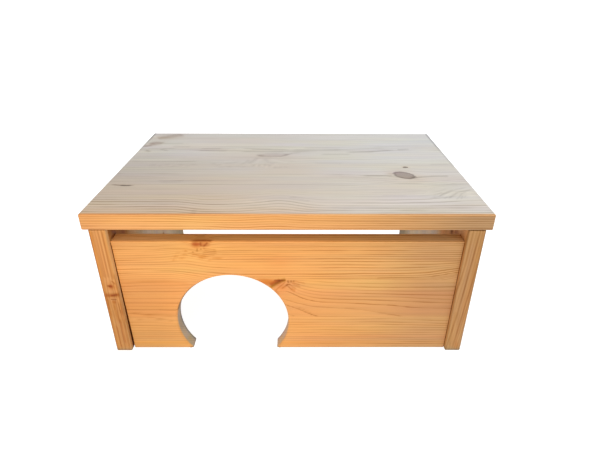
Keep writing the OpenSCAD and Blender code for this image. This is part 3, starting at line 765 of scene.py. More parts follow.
RUST, TAN, GOLD = (0.60, 0.54, 0.08), (0.84, 0.66, 0.46), (1.04, 1.06, 1.10)
front_marks = [
    # the knot that the top edge cuts, with curls under it
    streak([(-102, 148.0), (-95, 150.0), (-86, 150.4), (-78, 148.6)], 2.0, (0.70, 0.52, 0.34), 0.1), streak([(-99, 147.8), (-93, 148.6), (-86, 148.8), (-80, 147.8)], 1.1, (0.58, 0.34, 0.16), 0.08),
    blot(-96.4, 144.2, 5.0, 2.4, (0.68, 0.38, 0.22), power=4.0), blot(-96.4, 141.6, 4.8, 2.8, (0.88, 0.68, 0.52), power=3.0), blot(-87.5, 144.0, 5.6, 3.6, (0.78, 0.60, 0.46), power=4.0),
    streak([(-91.2, 147.0), (-91.6, 143.8), (-91.0, 140.6)], 1.0, (0.66, 0.46, 0.26)), streak([(-84.6, 147.0), (-85.0, 144.4), (-87.4, 142.2), (-90, 141.4)], 0.8, (0.70, 0.50, 0.32), 0.08),
    streak([(-88.0, 146.4), (-88.4, 144.6)], 0.8, (1.10, 1.10, 1.10)), streak([(-86.8, 143.6), (-88.6, 140.4)], 0.8, TAN),
    streak([(-95.2, 138.9), (-96.0, 136.6), (-96.0, 134.4)], 0.85, (0.70, 0.54, 0.34), 0.1), streak([(-91.6, 138.9), (-92.0, 137.0)], 0.9, (0.66, 0.50, 0.30), 0.1),
    streak([(-100.0, 134.9), (-101.2, 133.2)], 0.9, (0.76, 0.60, 0.42), 0.1), streak([(-88, 139.6), (-89.2, 137.6)], 0.7, TAN),
    streak([(-103, 131.2), (-98, 130.8), (-94, 129), (-86, 128.4)], 0.8, TAN), streak([(-94, 139.5), (-94.4, 136.5)], 0.8, GOLD),
    streak([(-90, 138.2), (-83, 137.8), (-75, 136.8)], 0.55, (0.76, 0.62, 0.44)), streak([(-89.5, 136.2), (-82, 135.3), (-73, 134.6)], 0.55, (0.76, 0.62, 0.44)),
    streak([(-91, 134.0), (-83, 133.2), (-75, 132.6)], 0.55, (0.76, 0.62, 0.44)), streak([(-92, 131.8), (-85, 130.8), (-77, 130.4)], 0.55, TAN),
    streak([(-86, 139.0), (-78, 138.4)], 0.6, GOLD), streak([(-87, 137.0), (-78, 136.1)], 0.6, GOLD), streak([(-88, 134.8), (-79, 133.8)], 0.6, GOLD),
    streak([(-128, 126.6), (-114, 130.2), (-104, 132.4), (-94, 131.0), (-80, 127.0), (-68, 126.4)], 0.7, (0.86, 0.72, 0.54), 0.1), streak([(-126, 123.4), (-112, 126.8), (-102, 128.4), (-92, 126.6), (-80, 123.6)], 0.7, (0.88, 0.74, 0.56), 0.1),
    streak([(-118, 133.6), (-106, 136.0)], 0.6, TAN, 0.1), streak([(-72, 130.6), (-50, 130.0), (-28, 130.4)], 0.6, (0.86, 0.72, 0.54), 0.1), streak([(-70, 137.6), (-52, 137.2)], 0.5, TAN, 0.1),
    # the knot that the glue line and the doorway cut: a brown wedge with broken fibres on its right
    streak([(-2.8, 98.6), (-9, 97.0), (-14, 93.2), (-20, 88.2)], 2.0, RUST, 0.02), streak([(-9, 98.6), (-14, 96.5), (-20, 92.0)], 2.2, (0.76, 0.54, 0.30), 0.02),
    blot(-25, 95.3, 14.0, 4.4, (0.80, 0.58, 0.26), power=4.0), streak([(-16, 98.0), (-9, 98.0), (-3, 98.1)], 1.0, (0.62, 0.46, 0.24), 0.08), blot(-9, 96.6, 5.5, 2.6, (0.80, 0.64, 0.40), 30, 3.0), 
    streak([(0, 90), (3, 86), (8, 82)], 0.7, TAN), streak([(-2, 92.5), (1, 88), (5, 84.5)], 0.6, (0.80, 0.66, 0.50)), streak([(1, 93.5), (4, 90), (9, 86.5)], 0.6, TAN), streak([(3.5, 94.5), (8, 91.5), (14, 89)], 0.6, TAN),
    streak([(-2.5, 96.5), (-7, 92), (-12, 87), (-15, 83)], 0.8, TAN), streak([(0, 94), (-4, 89.5), (-8, 86.5)], 0.9, (0.80, 0.62, 0.42)),
    streak([(-5, 95), (-10, 90.5), (-14, 87)], 0.8, GOLD), streak([(-15, 86), (-13, 82), (-10.5, 79)], 0.9, (0.82, 0.68, 0.55)),
    streak([(-1, 98), (0.5, 94.5)], 1.1, (0.54, 0.38, 0.22)), streak([(2.5, 98), (3.4, 95.0)], 1.1, (0.58, 0.41, 0.24)), streak([(5.5, 98), (6.4, 95.6)], 1.1, (0.66, 0.49, 0.31)), streak([(-3, 90.5), (0, 92.6), (2.5, 92.4)], 0.8, (0.70, 0.52, 0.34), 0.1), streak([(4, 96.0), (8, 93.6), (13, 91.6)], 0.6, TAN, 0.1), streak([(7, 97.4), (12, 95.4), (18, 94.2)], 0.6, TAN, 0.1), streak([(3, 87.6), (8, 84.4)], 0.7, TAN),
    streak([(1.0, 97.8), (2.0, 95.2)], 0.6, GOLD), blot(-7, 88, 6, 4, (0.96, 0.82, 0.66)), blot(-9, 80, 7, 5, (0.985, 0.93, 0.88)),
    # short dark strokes where single rings come to the surface
    streak([(8, 62), (20, 55), (29, 48.8)], 0.9, (0.86, 0.80, 0.70)), streak([(100, 54), (114, 50.8), (128, 48.4)], 0.9, (0.94, 0.90, 0.86)),
    streak([(-186, 94.2), (-160, 95.6), (-130, 95.4), (-104, 94.6)], 1.0, (0.84, 0.75, 0.62)), streak([(-184, 52.4), (-170, 51.8), (-156, 49.8), (-130, 48.6)], 1.0, (0.80, 0.70, 0.55)),
    streak([(-140, 99.5), (-118, 99.8)], 0.7, (0.86, 0.78, 0.66)),
    streak([(-178, 42.4), (-160, 45.2), (-146, 43.0), (-130, 40.6)], 0.8, (0.88, 0.82, 0.74)), streak([(-176, 46.5), (-164, 47.4), (-152, 46)], 1.2, (1.0, 0.95, 0.90)),
]


def side_staves(right):
    """Front stave: the rings run nearly along the broad faces, so its front edge shows long lines."""
    if right:
        edge = [
            (0, [(0, -0.5), (10, 0.0), (60, -3.5), (163, -12)]),
            (2, [(0, 4.8), (30, 3.0), (60, 1.2), (115, -2.0), (163, -5.0)]),
            (4, [(0, 10.2), (30, 8.0), (70, 5.5), (115, 2.5), (163, 1.1)]),
            (6, [(0, 17.4), (10, 16.7), (50, 12.5), (100, 9.9), (163, 6.7)]),
            (8, [(0, 26.0), (50, 21.5), (90, 18.0), (120, 14.9), (163, 13.6)]),
            (10, [(0, 34.0), (90, 27.0), (163, 22.0)]),
        ]
    else:
        edge = [
            (0, [(0, 0.5), (70, 0.6), (105, 1.5), (163, 1.2)]),
            (1, [(0, 3.8), (70, 3.6), (105, 4.6), (163, 4.0)]),
            (2, [(0, 6.6), (70, 6.2), (92, 6.6), (105, 8.0), (163, 7.4)]),
            (3, [(0, 11.0), (45, 11.0), (75, 12.6), (92, 12.4), (105, 11.0), (163, 10.5)]),
            (4, [(0, 15.8), (40, 15.2), (75, 14.2), (105, 14.0), (163, 14.2)]),
            (6, [(0, 22.0), (163, 21.0)]),
        ]
    s = 40 if right else 30
    return [
        stave(-139.0, -90.0, edge, seed=s + 1, wavy=0.22, jitter=0.0, contrast=1.15 if right else 1.6, width=1.25, flat=0.16),
        stave(-90.0, -42.0, [(0, [(0, -42), (163, -42)]), (14, [(0, -90), (163, -88)])], tilt=0.6, seed=s + 2, wavy=0.5),
        stave(-42.0, 12.0, [(0, [(0, 12), (90, 14), (163, 10)]), (10, [(0, -42), (80, -38), (163, -42)])], tilt=-1.5, bow=70.0, seed=s + 3, wavy=0.8, contrast=0.8),
        stave(12.0, 60.0, [(0, [(0, 60), (163, 62)]), (13, [(0, 12), (163, 12)])], tilt=0.3, seed=s + 4, wavy=0.4),
        stave(60.0, 104.0, [(0, [(0, 104), (163, 100)]), (11, [(0, 60), (163, 57)])], tilt=1.0, seed=s + 5, wavy=0.6),
        stave(104.0, 139.0, [(0, [(0, 139), (163, 139)]), (10, [(0, 104), (163, 104)])], tilt=-0.4, seed=s + 6, wavy=0.4),
    ]


left_knots = [knot(52.0, 30.0, 9.0, 7.5, 3, turn=10, lean=(0.2, 0.1), fill=0.8, rim=0.35, push=0.9, halo=0.6, red=0.65)]
right_knots = [knot(118.0, -14.0, 10.0, 8.0, 2, turn=-15, lean=(0.1, 0.2), fill=0.8, rim=0.35, push=0.9, halo=0.6, red=0.65)]

# Marks on the front edges of the side boards, by height and by depth from the outer face
left_edge_marks = [
    streak([(163, 1.6), (0, 1.4)], 2.8, (0.88, 0.72, 0.44), 0.01), streak([(90, 1.8), (0, 1.6)], 2.4, (0.90, 0.84, 0.76), 0.2), streak([(163, 15.6), (0, 15.6)], 2.2, (0.95, 0.93, 0.86), 0.01), blot(81.5, 9, 3.4, 12, (0.84, 0.72, 0.56), power=3.0),
    blot(93.4, 10.2, 2.0, 2.3, (0.60, 0.28, 0.06), power=3.0), blot(93.8, 8.0, 1.3, 1.7, (0.60, 0.50, 0.28), power=3.0), blot(92.8, 10.8, 4.6, 4.8, (0.86, 0.64, 0.38)), streak([(101, 12.0), (98, 14.5), (95.5, 15.4)], 1.1, (0.74, 0.58, 0.40)),
    streak([(81.6, 2.0), (80.8, 6.0), (81.0, 10.0), (82.2, 15.0), (82.6, 18.0)], 2.3, (0.80, 0.60, 0.34), 0.06), streak([(80.8, 7.0), (81.4, 12.0), (82.6, 16.5)], 1.4, (0.68, 0.46, 0.18), 0.2),
    streak([(79.5, 3.2), (73, 3.8), (60, 3.0), (50, 3.2)], 1.3, (0.84, 0.70, 0.50)), streak([(75.9, 6.6), (75.5, 13.6)], 0.8, (0.50, 0.32, 0.16), 0.05),
    streak([(75.2, 9.8), (66, 9.2), (54, 9.8), (42, 12.0)], 2.6, (0.84, 0.72, 0.46), 0.12), streak([(74, 7.5), (71, 12.5)], 2.2, (0.84, 0.66, 0.44), 0.2),
    streak([(75, 13.8), (62, 14.2), (44, 15.8), (30, 16.2)], 0.9, (0.80, 0.68, 0.52)), streak([(74, 16), (60, 16.4), (40, 17.2)], 0.7, TAN),
    streak([(163, 4.8), (140, 5.2), (120, 5.6), (104, 6.2)], 0.95, (0.80, 0.68, 0.54), 0.04), streak([(163, 9.2), (140, 9.6), (118, 9.8), (104, 9.4)], 0.95, (0.80, 0.68, 0.54), 0.04),
    streak([(163, 13.8), (140, 14.2), (120, 14.4), (102, 15.0)], 1.3, (0.76, 0.62, 0.46), 0.04), streak([(163, 7.2), (110, 7.6)], 0.9, (1.04, 1.04, 1.03), 0.05), streak([(163, 11.8), (110, 12.2)], 0.9, (1.05, 1.06, 1.06), 0.05),
    streak([(70, 8.8), (45, 8.2), (20, 7.8), (2, 7.6)], 1.0, (0.88, 0.82, 0.74), 0.06), streak([(48, 11.6), (30, 11.2), (4, 11.4)], 1.1, (0.80, 0.70, 0.58), 0.08), streak([(100, 5.6), (60, 5.2), (4, 5.4)], 1.7, (1.04, 1.09, 1.10), 0.1), streak([(72, 3.6), (50, 3.4), (2, 3.4)], 3.0, (1.04, 1.07, 1.06), 0.1), streak([(52, 3.8), (30, 3.6), (1, 3.6)], 3.4, (1.05, 1.07, 1.12), 0.3), streak([(66, 7.4), (30, 7.0), (1, 7.0)], 2.0, (1.02, 1.04, 1.08), 0.1),
    streak([(112, 16.9), (80, 16.7), (50, 16.9)], 0.8, (0.80, 0.66, 0.48), 0.1), streak([(44, 16.2), (4, 16.4)], 0.8, (0.84, 0.74, 0.60), 0.1),
    streak([(40, 5.6), (20, 6.0), (4, 6.4)], 0.8, TAN, 0.1), streak([(48, 12.2), (28, 11.6), (10, 12.4)], 0.9, TAN, 0.1),
]
right_edge_marks = [
    streak([(163, 6.9), (100, 10.0), (50, 12.6), (12, 16.4)], 1.1, (0.84, 0.76, 0.66), 0.04), streak([(115, 2.6), (70, 5.6), (30, 8.1), (6, 9.9)], 1.1, (0.84, 0.74, 0.62), 0.06),
    streak([(163, 13.4), (120, 15.2), (92, 17.4)], 0.9, (0.90, 0.84, 0.76), 0.06), streak([(163, 1.2), (110, 3.6)], 0.8, (0.90, 0.84, 0.76), 0.06), blot(9, 5.5, 5.5, 3.0, (1.0, 0.86, 0.74)),
    streak([(163, 0.6), (0, 0.6)], 1.6, (0.90, 0.86, 0.82), 0.01),
    streak([(150, 2.8), (110, 2.4), (70, 3.4)], 1.0, (0.88, 0.78, 0.66), 0.1), streak([(60, 13.4), (30, 13.6), (6, 14.4)], 0.9, (0.86, 0.78, 0.68), 0.08), streak([(60, 5.4), (30, 6.6), (10, 8.2)], 1.0, (0.94, 0.89, 0.84), 0.1), streak([(50, 4.6), (30, 5.2), (4, 5.6)], 2.6, (1.07, 1.06, 1.08), 0.3), streak([(48, 9.0), (20, 9.6), (4, 9.8)], 2.0, (1.07, 1.06, 1.06), 0.3),
    streak([(150, 4.8), (90, 4.4), (40, 2.6)], 1.9, (1.05, 0.99, 0.90), 0.08), streak([(150, 10.6), (90, 11.4), (50, 13.0)], 1.8, (1.0, 1.01, 1.10), 0.08), streak([(40, 1.4), (6, 1.4)], 1.4, (0.98, 1.0, 1.16), 0.1),
    streak([(110, 6.0), (80, 7.2), (50, 9.0)], 0.8, (1.06, 1.02, 1.0)), streak([(84, 14.5), (40, 17.0)], 0.8, (1.06, 1.05, 1.08)),
]
def arches(centre, tops, width, colour):
    """Nested arches of a flat-sawn stave, by height and by place along y."""
    out = []
    for top, half in tops:
        left = [(0, centre - half), (0.5 * top, centre - 0.82 * half), (0.85 * top, centre - 0.46 * half), (0.97 * top, centre - 0.16 * half)]
        out.append(streak(left + [(top, centre + 0.04 * half)] + [(a, 2 * centre - b + 0.05 * half) for a, b in left[::-1]], width, colour, 0.12))
    return out


# Outer faces: the arches of the front stave, and each knot's cracks, dark bark and bent fibres
left_outer_marks = arches(-117, ((34, 4.0), (66, 7.5), (97, 11.0), (126, 14.5), (150, 18.0)), 1.1, (0.88, 0.75, 0.58)) + [
    blot(52, 30, 3.0, 2.2, (0.66, 0.50, 0.38), 10), streak([(52, 30), (56.5, 32.5), (60, 33)], 0.8, (0.46, 0.32, 0.22)), streak([(52, 30), (48.5, 27), (44, 26.5)], 0.7, (0.50, 0.36, 0.25)),
    streak([(52, 30), (51, 34.5), (52, 37)], 0.7, (0.54, 0.40, 0.28)), streak([(43.6, 28), (45, 23.6), (50, 22.0), (56, 23.4)], 1.8, (0.52, 0.38, 0.26), 0.05), streak([(60.8, 33), (57, 37), (50, 38)], 1.2, (0.60, 0.46, 0.34), 0.08),
    streak([(38, 30), (30, 29), (18, 30)], 2.6, (0.90, 0.80, 0.68)), streak([(66, 31), (76, 32), (90, 31)], 2.4, (0.90, 0.80, 0.68)), blot(52, 30, 15, 11, (0.97, 0.90, 0.82), 10)]
right_outer_marks = arches(-114, ((42, 4.0), (76, 8.0), (108, 12.0), (136, 16.0), (158, 20.0)), 1.1, (0.88, 0.75, 0.58)) + [
    blot(118, -14, 3.2, 2.4, (0.66, 0.50, 0.38), -15), streak([(118, -14), (123, -11), (126.6, -10)], 0.8, (0.46, 0.32, 0.22)), streak([(118, -14), (113, -12), (109, -12.6)], 0.7, (0.50, 0.36, 0.25)),
    streak([(118, -14), (119, -18.5), (118, -21)], 0.7, (0.54, 0.40, 0.28)), streak([(108.4, -16), (111, -20.4), (117, -22.6), (124, -20.8)], 1.9, (0.52, 0.38, 0.26), 0.05), streak([(127.6, -11), (123, -6.6), (115, -6.4)], 1.2, (0.60, 0.46, 0.34), 0.08),
    streak([(104, -14), (94, -13), (82, -14)], 2.6, (0.90, 0.80, 0.68)), streak([(132, -14), (142, -15), (156, -14)], 2.6, (0.90, 0.80, 0.68)), blot(118, -14, 16, 12, (0.97, 0.90, 0.82), -15)]
# The knot on the inner face of the right board, by height and by place along y
right_inner_marks = [blot(139.5, -93.0, 8.0, 4.4, (0.33, 0.23, 0.05), power=4.0), blot(141, -99.5, 8.0, 5.0, (0.96, 0.86, 0.76), power=3.0), streak([(152, -97), (144, -104), (138, -112)], 2.2, (0.72, 0.58, 0.40)),
                     streak([(150, -103), (146, -110), (143, -115)], 1.8, (0.76, 0.62, 0.44)), streak([(148, -82), (133, -83)], 2.0, (0.90, 0.84, 0.74))]

# Rings that stand out
ACCENTS += [(ROOF_BASE + 64 + n, 0.32) for n in (7, 8, 9, 10, 11, 12, 13)]
ACCENTS += [(ROOF_BASE + 128 + 3, 0.35), (ROOF_BASE + 192 + 6, 0.2), (ROOF_BASE + 256 + 7, 0.4), (ROOF_BASE + 256 + 9, 0.45)]
ACCENTS += [(FRONT_BASE + 128 + n, a) for n, a in ((1, 0.15), (4, 0.1), (5, 0.3), (6, 0.35), (7, 0.4), (8, 0.3), (9, 0.25), (10, 0.2))]
ACCENTS += [(FRONT_BASE + 192 + n, a) for n, a in ((6, 0.2), (9, 0.3), (14, 0.35), (16, 0.25))]

PINE = pine_material("pine_solid_wood", 0.22)
PINE_RAW = pine_material("pine_raw_inside", 0.03)
BEECH = beech_material()


def end_grain(centre, axis, lo, hi):
    return (centre[:, axis] < lo + 0.35) | (centre[:, axis] > hi - 0.35)


def wear(co, no, seed, depth):
    """Hand sanding: faces are never quite flat. Points move inward only, so the box is kept."""
    low = 0.5 + 0.5 * noise(co[:, 0] / 55.0, co[:, 1] / 55.0, co[:, 2] / 55.0, seed)
    mid = 0.5 + 0.5 * noise(co[:, 0] / 14.0, co[:, 1] / 14.0, co[:, 2] / 14.0, seed + 1)
    return co - no * (depth * (0.7 * low + 0.3 * mid))[:, None]


# --- roof board
def roof_uvw(p):
    return p[:, 0], p[:, 1], ROOF_TOP - p[:, 2]


def roof_lit_tone(p, centre):
    w = ROOF_TOP - p[:, 2]
    # painted light: the pale top, painted cool light from above, gives way to amber, painted warm front light, on its
    # front arris
    pale = (1 - smooth(0.25, 1.5, w)) * (1 - 0.85 * smooth(-135.0, -137.8, p[:, 1]))
    # the underside away from its edges is plainer: painted shade under the roof
    edge = np.minimum(np.minimum(p[:, 0] - ROOF_LO[0], ROOF_HI[0] - p[:, 0]), np.minimum(p[:, 1] - ROOF_LO[1], ROOF_HI[1] - p[:, 1]))
    inner = smooth(3.0, 12.0, edge) * (w > 9)
    lit_tone = 1.0 - 0.45 * inner
    lit_tone = lit_tone * (1 - pale)
    return lit_tone + 2.0 * end_grain(centre, 0, ROOF_LO[0], ROOF_HI[0])


def roof_tones(u, v, w):
    top = 1 - smooth(0.3, 2.0, w)
    # painted light: deeper and warmer to the front left, in painted shade, paler and cooler at the back and right, a
    # painted cool sheen of the light from behind
    left = np.clip((150 - u) / 350, 0, 1)
    light = -0.24 * left * (1 - 0.22 * smooth(-20, -120, v) - 0.60 * smooth(-10, 70, v) + 0.12 * smooth(70, 130, v)) + 0.07 * smooth(-90, -130, v)
    light += 0.05 * bump(u, -135, 32) * bump(v, 88, 14) - 0.03 * bump(u, -10, 52) * bump(v, 36, 17) - 0.05 * bump(u, -185, 30) * bump(v, 35, 14) - 0.02 * smooth(-30, 20, u) * smooth(110, 80, u) * bump(v, 34, 12)
    cool = 0.10 * smooth(-60, 140, u) + 0.09 * smooth(-60, 90, v) - 0.05 * smooth(-40, -110, v) * smooth(100, -100, u)
    cool -= 0.13 * smooth(-112, -136, v) * smooth(160, -60, u) + 0.11 * smooth(0, -120, v) * smooth(0, -120, u) + 0.03 * smooth(20, -60, v)
    pink = 0.02 * noise(u / 60.0, v / 12.0, 0, 5)
    warm = 0.05 * noise(u / 70.0, v / 14.0, 2, 6)
    face = shade(light, warm, pink) * np.stack([np.ones(len(u)), 1 + 0.5 * cool, 1 + cool], 1)
    # the front edge is greyer and dimmer towards the right, and redder at its left end: painted fall-off of the warm
    # front light towards the right
    side = smooth(30, 190, u)
    tip, mid = smooth(140, 185, u), bump(u, -95, 34)
    edge = np.stack([1 - 0.20 * side - 0.06 * tip, 1.05 - 0.10 * side + 0.09 * mid - 0.05 * tip, 1.12 + 0.16 * side + 0.08 * mid + 0.10 * smooth(10, 13, w) * (1 - side)], 1)
    far = smooth(-165, -205, u)
    edge *= 1 - far[:, None] * np.array([0.06, 0.10, 0.10])
    tint = edge + (face - edge) * top[:, None]
    tint = paint(tint, u, v, roof_marks, top)
    # greyer arrises at the left and right ends, painted shade on the rounding that turns away from the light, and
    # darker towards the back at both ends
    rim = smooth(208.6, 209.9, np.abs(u)) * smooth(1.6, 0.6, np.minimum(w, 18 - w))
    tint *= 1 - rim[:, None] * np.array([0.42, 0.36, 0.30])
    ends_darker = smooth(2.4, 1.6, w) * (smooth(-206.4, -208.1, u) * (0.20 * smooth(50, 80, v) + 0.36 * smooth(84, 112, v))
                                   + smooth(206.8, 208.1, u) * (0.16 * smooth(-14, 10, v) + 0.30 * smooth(40, 100, v)))
    tint *= 1 - ends_darker[:, None]
    # the lower arris lies in its own shade
    reach = np.minimum(np.minimum(u - ROOF_LO[0], ROOF_HI[0] - u), np.minimum(v - ROOF_LO[1], ROOF_HI[1] - v))
    under = smooth(16.5, 17.3, w) * smooth(2.6, 1.5, reach)
    tint *= 1 - under[:, None] * np.array([0.36, 0.43, 0.52])
    line = 1 + (0.7 + 0.6 * smooth(60, 130, u)) * smooth(-136.5, -138.4, v)
    # quiet middle of the roof
    line *= 1 - 0.60 * smooth(-100, -60, u) * smooth(80, 20, u) * bump(v, -35, 25)
    rows = smooth(-68, -82, v) * smooth(-138.4, -136.5, v)
    line *= 1 - 0.26 * rows * smooth(-90, -50, u) * smooth(90, 40, u) - 0.22 * smooth(2, 20, u) * smooth(-10, 10, v) * smooth(60, 40, v)
    line *= 1 + 0.40 * rows * (smooth(-110, -150, u) + 0.8 * smooth(110, 150, u))
    line *= 1 - 0.55 * smooth(-106, -100, v) * smooth(-62, -70, v)
    return tint, line


def roof_shape(co, no):
    out = wear(co, no, 3, 0.10)
    u, v, w = roof_uvw(co)
    top = (no[:, 2] > 0.9) & (w < 0.5)
    down = np.zeros(len(co))
    for k in roof_knots:
        a, b, r, du, dv = knot_space(k, u, v, w)
        down += top * k["rim"] * 0.35 * bump(r, 1.0, 0.09)
        down += top * k["fill"] * 0.10 * (r < 0.9)
    slit = np.exp(-((u + 187) / 7.5) ** 2) * np.exp(-((v + 65.2 + 0.035 * (u + 187)) / 0.7) ** 2) * top
    down += 0.7 * slit
    out[:, 2] -= down
    return out


def make_roof():
    bm = blank(ROOF_LO, ROOF_HI)
    bm = rounded("roof_blank", bm, lambda a, b: EDGE_R, 3)
    staves = [s["hi"] for s in roof_staves[:-1]]
    cut(bm, 0, lattice(ROOF_LO[0], ROOF_HI[0], 2.6))
    cut(bm, 2, lattice(ROOF_LO[2], ROOF_HI[2], 2.2))
    cut(bm, 1, lattice(ROOF_LO[1], ROOF_HI[1], 2.6, staves))

    def near(c, n):
        u, v, w = roof_uvw(c)
        wanted = np.zeros(len(c), bool)
        for k in roof_knots:
            a, b, r, du, dv = knot_space(k, u, v, w)
            wanted |= (r < 1.55) & (n[:, 2] > 0.9)
        for u0, u1, v0, v1 in ((-210, -168, -72, -58), (-62, 2, -9, 34), (-182, -60, -9, 18), (165, 210, -104, -66)):
            wanted |= (u > u0) & (u < u1) & (v > v0) & (v < v1) & (n[:, 2] > 0.9)
        return wanted

    refine(bm, near, 2)
    return finish_board("roof_board_wood", "roof_board", bm, dict(
        uvw=roof_uvw, staves=roof_staves, knots=roof_knots, u_range=(ROOF_LO[0], ROOF_HI[0]), ring_base=ROOF_BASE,
        lit_tone=roof_lit_tone, tones=roof_tones, shape=roof_shape, material=PINE))


# --- front board
def front_uvw(p):
    return p[:, 0], p[:, 2], p[:, 1] - FRONT_LO[1]


def front_lit_tone(p, centre):
    w = p[:, 1] - FRONT_LO[1]
    x, z = p[:, 0], p[:, 2]
    # painted light: amber on the front face and the top edge for the warm front light, plainer behind
    amber = 1 - smooth(3.5, 14.0, w)
    amber = np.maximum(amber, smooth(FRONT_HI[2] - 3, FRONT_HI[2] - 1, z))
    # the wall of the doorway is paler and greyer: painted cool light in the doorway, with less of the warm front light
    wall = smooth(2.0, 0.2, np.hypot(x - DOOR_X, z - DOOR_Z) - DOOR_R) * smooth(0.8, 3.0, w)
    amber = amber * (1 - wall)
    wall = wall * smooth(0, -90, x)
    return 0.45 + 0.55 * amber - 0.15 * wall + 2.0 * end_grain(centre, 0, FRONT_LO[0], FRONT_HI[0])


def front_tones(u, v, w):
    n = len(u)
    face = 1 - smooth(0.6, 3.0, w)
    light, warm, pink = np.zeros(n), np.zeros(n), np.zeros(n)
    warm -= 0.12 * bump(v, 14, 1.8)
    warm += 0.16 * bump(v, 8.5, 2.0)
    pink += 0.03 * bump(v, 17, 1.6)
    pink += 0.02 * noise(u / 50.0, v / 6.0, 0, 8)
    warm += 0.06 * noise(u / 80.0, v / 9.0, 0, 9)
    # less amber towards the right, painted fall-off of the warm front light, and dimmer at the lower left
    warm -= 0.22 * smooth(0, 180, u)
    pink -= 0.05 * smooth(0, 100, u) - 0.035 * smooth(95, 150, u)
    light -= 0.07 * smooth(110, 10, v) * smooth(-60, -170, u) + 0.09 * smooth(112, 96, v) * smooth(-110, -155, u)
    # the middle stave is a little redder and deeper than its neighbours
    middle = smooth(47.8, 48.2, v) * smooth(98.7, 98.3, v)
    light -= 0.04 * middle
    warm += 0.12 * middle * smooth(-90, -140, u)
    pink += 0.05 * middle * (1 - 1.5 * smooth(82, 88, v) * smooth(-10, 20, u)) - 0.03 * smooth(47, 20, v) * smooth(0, -100, u)
    pink += 0.06 * bump(v, 15, 9) * smooth(-20, 40, u) + 0.06 * bump(u, -10, 14) * bump(v, 122, 8) - 0.06 * bump(u, -110, 32) * bump(v, 111, 4.5)
    warm += 0.10 * bump(u, -10, 14) * bump(v, 122, 8)
    light += 0.05 * smooth(5, 30, u) * smooth(120, 95, u) * bump(v, 92, 10) - 0.05 * smooth(118, 128, v) * smooth(-105, -130, u) - 0.04 * bump(u, -28, 26) * bump(v, 123, 9)
    pink -= 0.03 * smooth(5, 30, u) * smooth(120, 95, u) * bump(v, 95, 9)
    warm += 0.06 * bump(u, -30, 28) * bump(v, 125, 12) + 0.05 * bump(u, 90, 34) * bump(v, 15, 10)
    light -= 0.04 * bump(u, 90, 34) * bump(v, 15, 10)
    # painted light on the top edge face, lighter and less warm, and a painted highlight on the sanded arris in front of
    # it
    above = smooth(145.6, 146.9, v) * smooth(1.4, 2.1, w)
    light += above * (0.19 + 0.20 * smooth(-100, -160, u) + 0.20 * smooth(60, 165, u))
    pink -= 0.10 * above
    warm -= above * (0.20 + 0.20 * smooth(-100, -150, u) + 0.08 * smooth(120, 170, u))
    light += 0.26 * smooth(145.3, 146.2, v) * smooth(2.0, 1.4, w)
    # and the lower arris, in its own shade
    light -= 0.30 * smooth(1.8, 0.7, v)
    warm -= 0.20 * smooth(1.8, 0.7, v)
    # painted light on the doorway's wall: painted shade at its upper left, painted warm front light at its right
    r = np.hypot(u - DOOR_X, v - DOOR_Z) - DOOR_R
    wall = smooth(2.5, 0.2, r) * smooth(1.2, 3.4, w)
    west, east = smooth(-70, -110, u), smooth(-60, -20, u)
    light -= wall * (0.22 * smooth(18, 34, v) * west - 0.10 * east)
    warm += wall * (0.30 * east + west * (0.16 * bump(w, 6.5, 4.5) - 0.12 * smooth(11, 14, w)) - 0.22 * east * smooth(9, 14, w))
    pink += wall * (0.13 * east + 0.05 * west * bump(w, 7, 4) - 0.03 * west * smooth(11, 14, w))
    light -= wall * west * (0.14 * smooth(22, 34, v) * smooth(9, 14, w) + 0.05 * bump(v, 26, 3) * bump(w, 9, 3))
    # its rear lip and the front lip at the upper left are nearly in the dark
    rear = smooth(3.2, 2.2, r) * smooth(12.0, 14.6, w) * smooth(-60, -100, u)
    lip = smooth(1.7, 0.7, r) * smooth(0.2, 0.8, w) * smooth(4.6, 3.6, w) * smooth(52, 60, v) * smooth(101, 88, v) * smooth(-90, -106, u)
    light -= 0.46 * rear + 0.52 * lip + 0.12 * bump(w, 3.0, 1.4) * smooth(3.0, 2.0, r) * bump(v, 48, 16) * smooth(-80, -110, u)
    light -= 0.26 * smooth(3.2, 2.2, r) * smooth(13.0, 15.0, w) * smooth(-60, -30, u)
    warm -= 0.35 * smooth(3.2, 2.2, r) * smooth(13.0, 15.0, w) * smooth(-60, -30, u)
    # painted shade in the narrow gaps at both ends
    gap = smooth(184.4, 184.9, np.abs(u)) * smooth(0.4, 1.2, w) * smooth(146.4, 144.0, v)
    light -= 0.6 * gap
    # fewer dark lines at the left of the middle stave and in the top one
    line = (1 + 0.30 * smooth(0, 60, u)) * (1 - 0.40 * middle * smooth(-60, -125, u) * bump(v, 68, 14))
    line *= 1 + 0.12 * smooth(30, 120, u) * (1 - middle)
    line *= 1 - 0.85 * smooth(1, -4, u) * smooth(-45, -25, u) * bump(v, 86, 11)
    upper, lower = smooth(98.3, 98.7, v) * (1 - above), smooth(48.2, 47.8, v)
    # the whole face is dimmer towards the right end too: painted fall-off of the front light
    light += upper * 0.045 * smooth(45, 95, u) + lower * 0.04 * smooth(95, 150, u) - 0.10 * smooth(85, 160, u)
    pink -= upper * 0.035 * smooth(95, 125, u) + lower * 0.04 * smooth(90, 140, u)
    warm -= upper * 0.06 * smooth(75, 150, u) + lower * 0.05 * smooth(90, 150, u) + 0.12 * bump(v, 94, 10) * smooth(120, 170, u)
    pink -= 0.05 * smooth(105, 109, v) * bump(u, -107, 44) * (1 - above)
    warm -= 0.05 * smooth(105, 109, v) * bump(u, -107, 44) * (1 - above) + 0.08 * bump(v, 94, 9) * bump(u, 3, 15)
    light -= 0.04 * bump(u, -10, 18) * bump(v, 122, 10)
    # marks may run on over the upper arris
    over = smooth(145.4, 146.0, v)
    return paint(shade(light, warm, pink), u, v + over * np.minimum(w, 8.0), front_marks, np.maximum(face, over * smooth(5.5, 3.5, w))), line


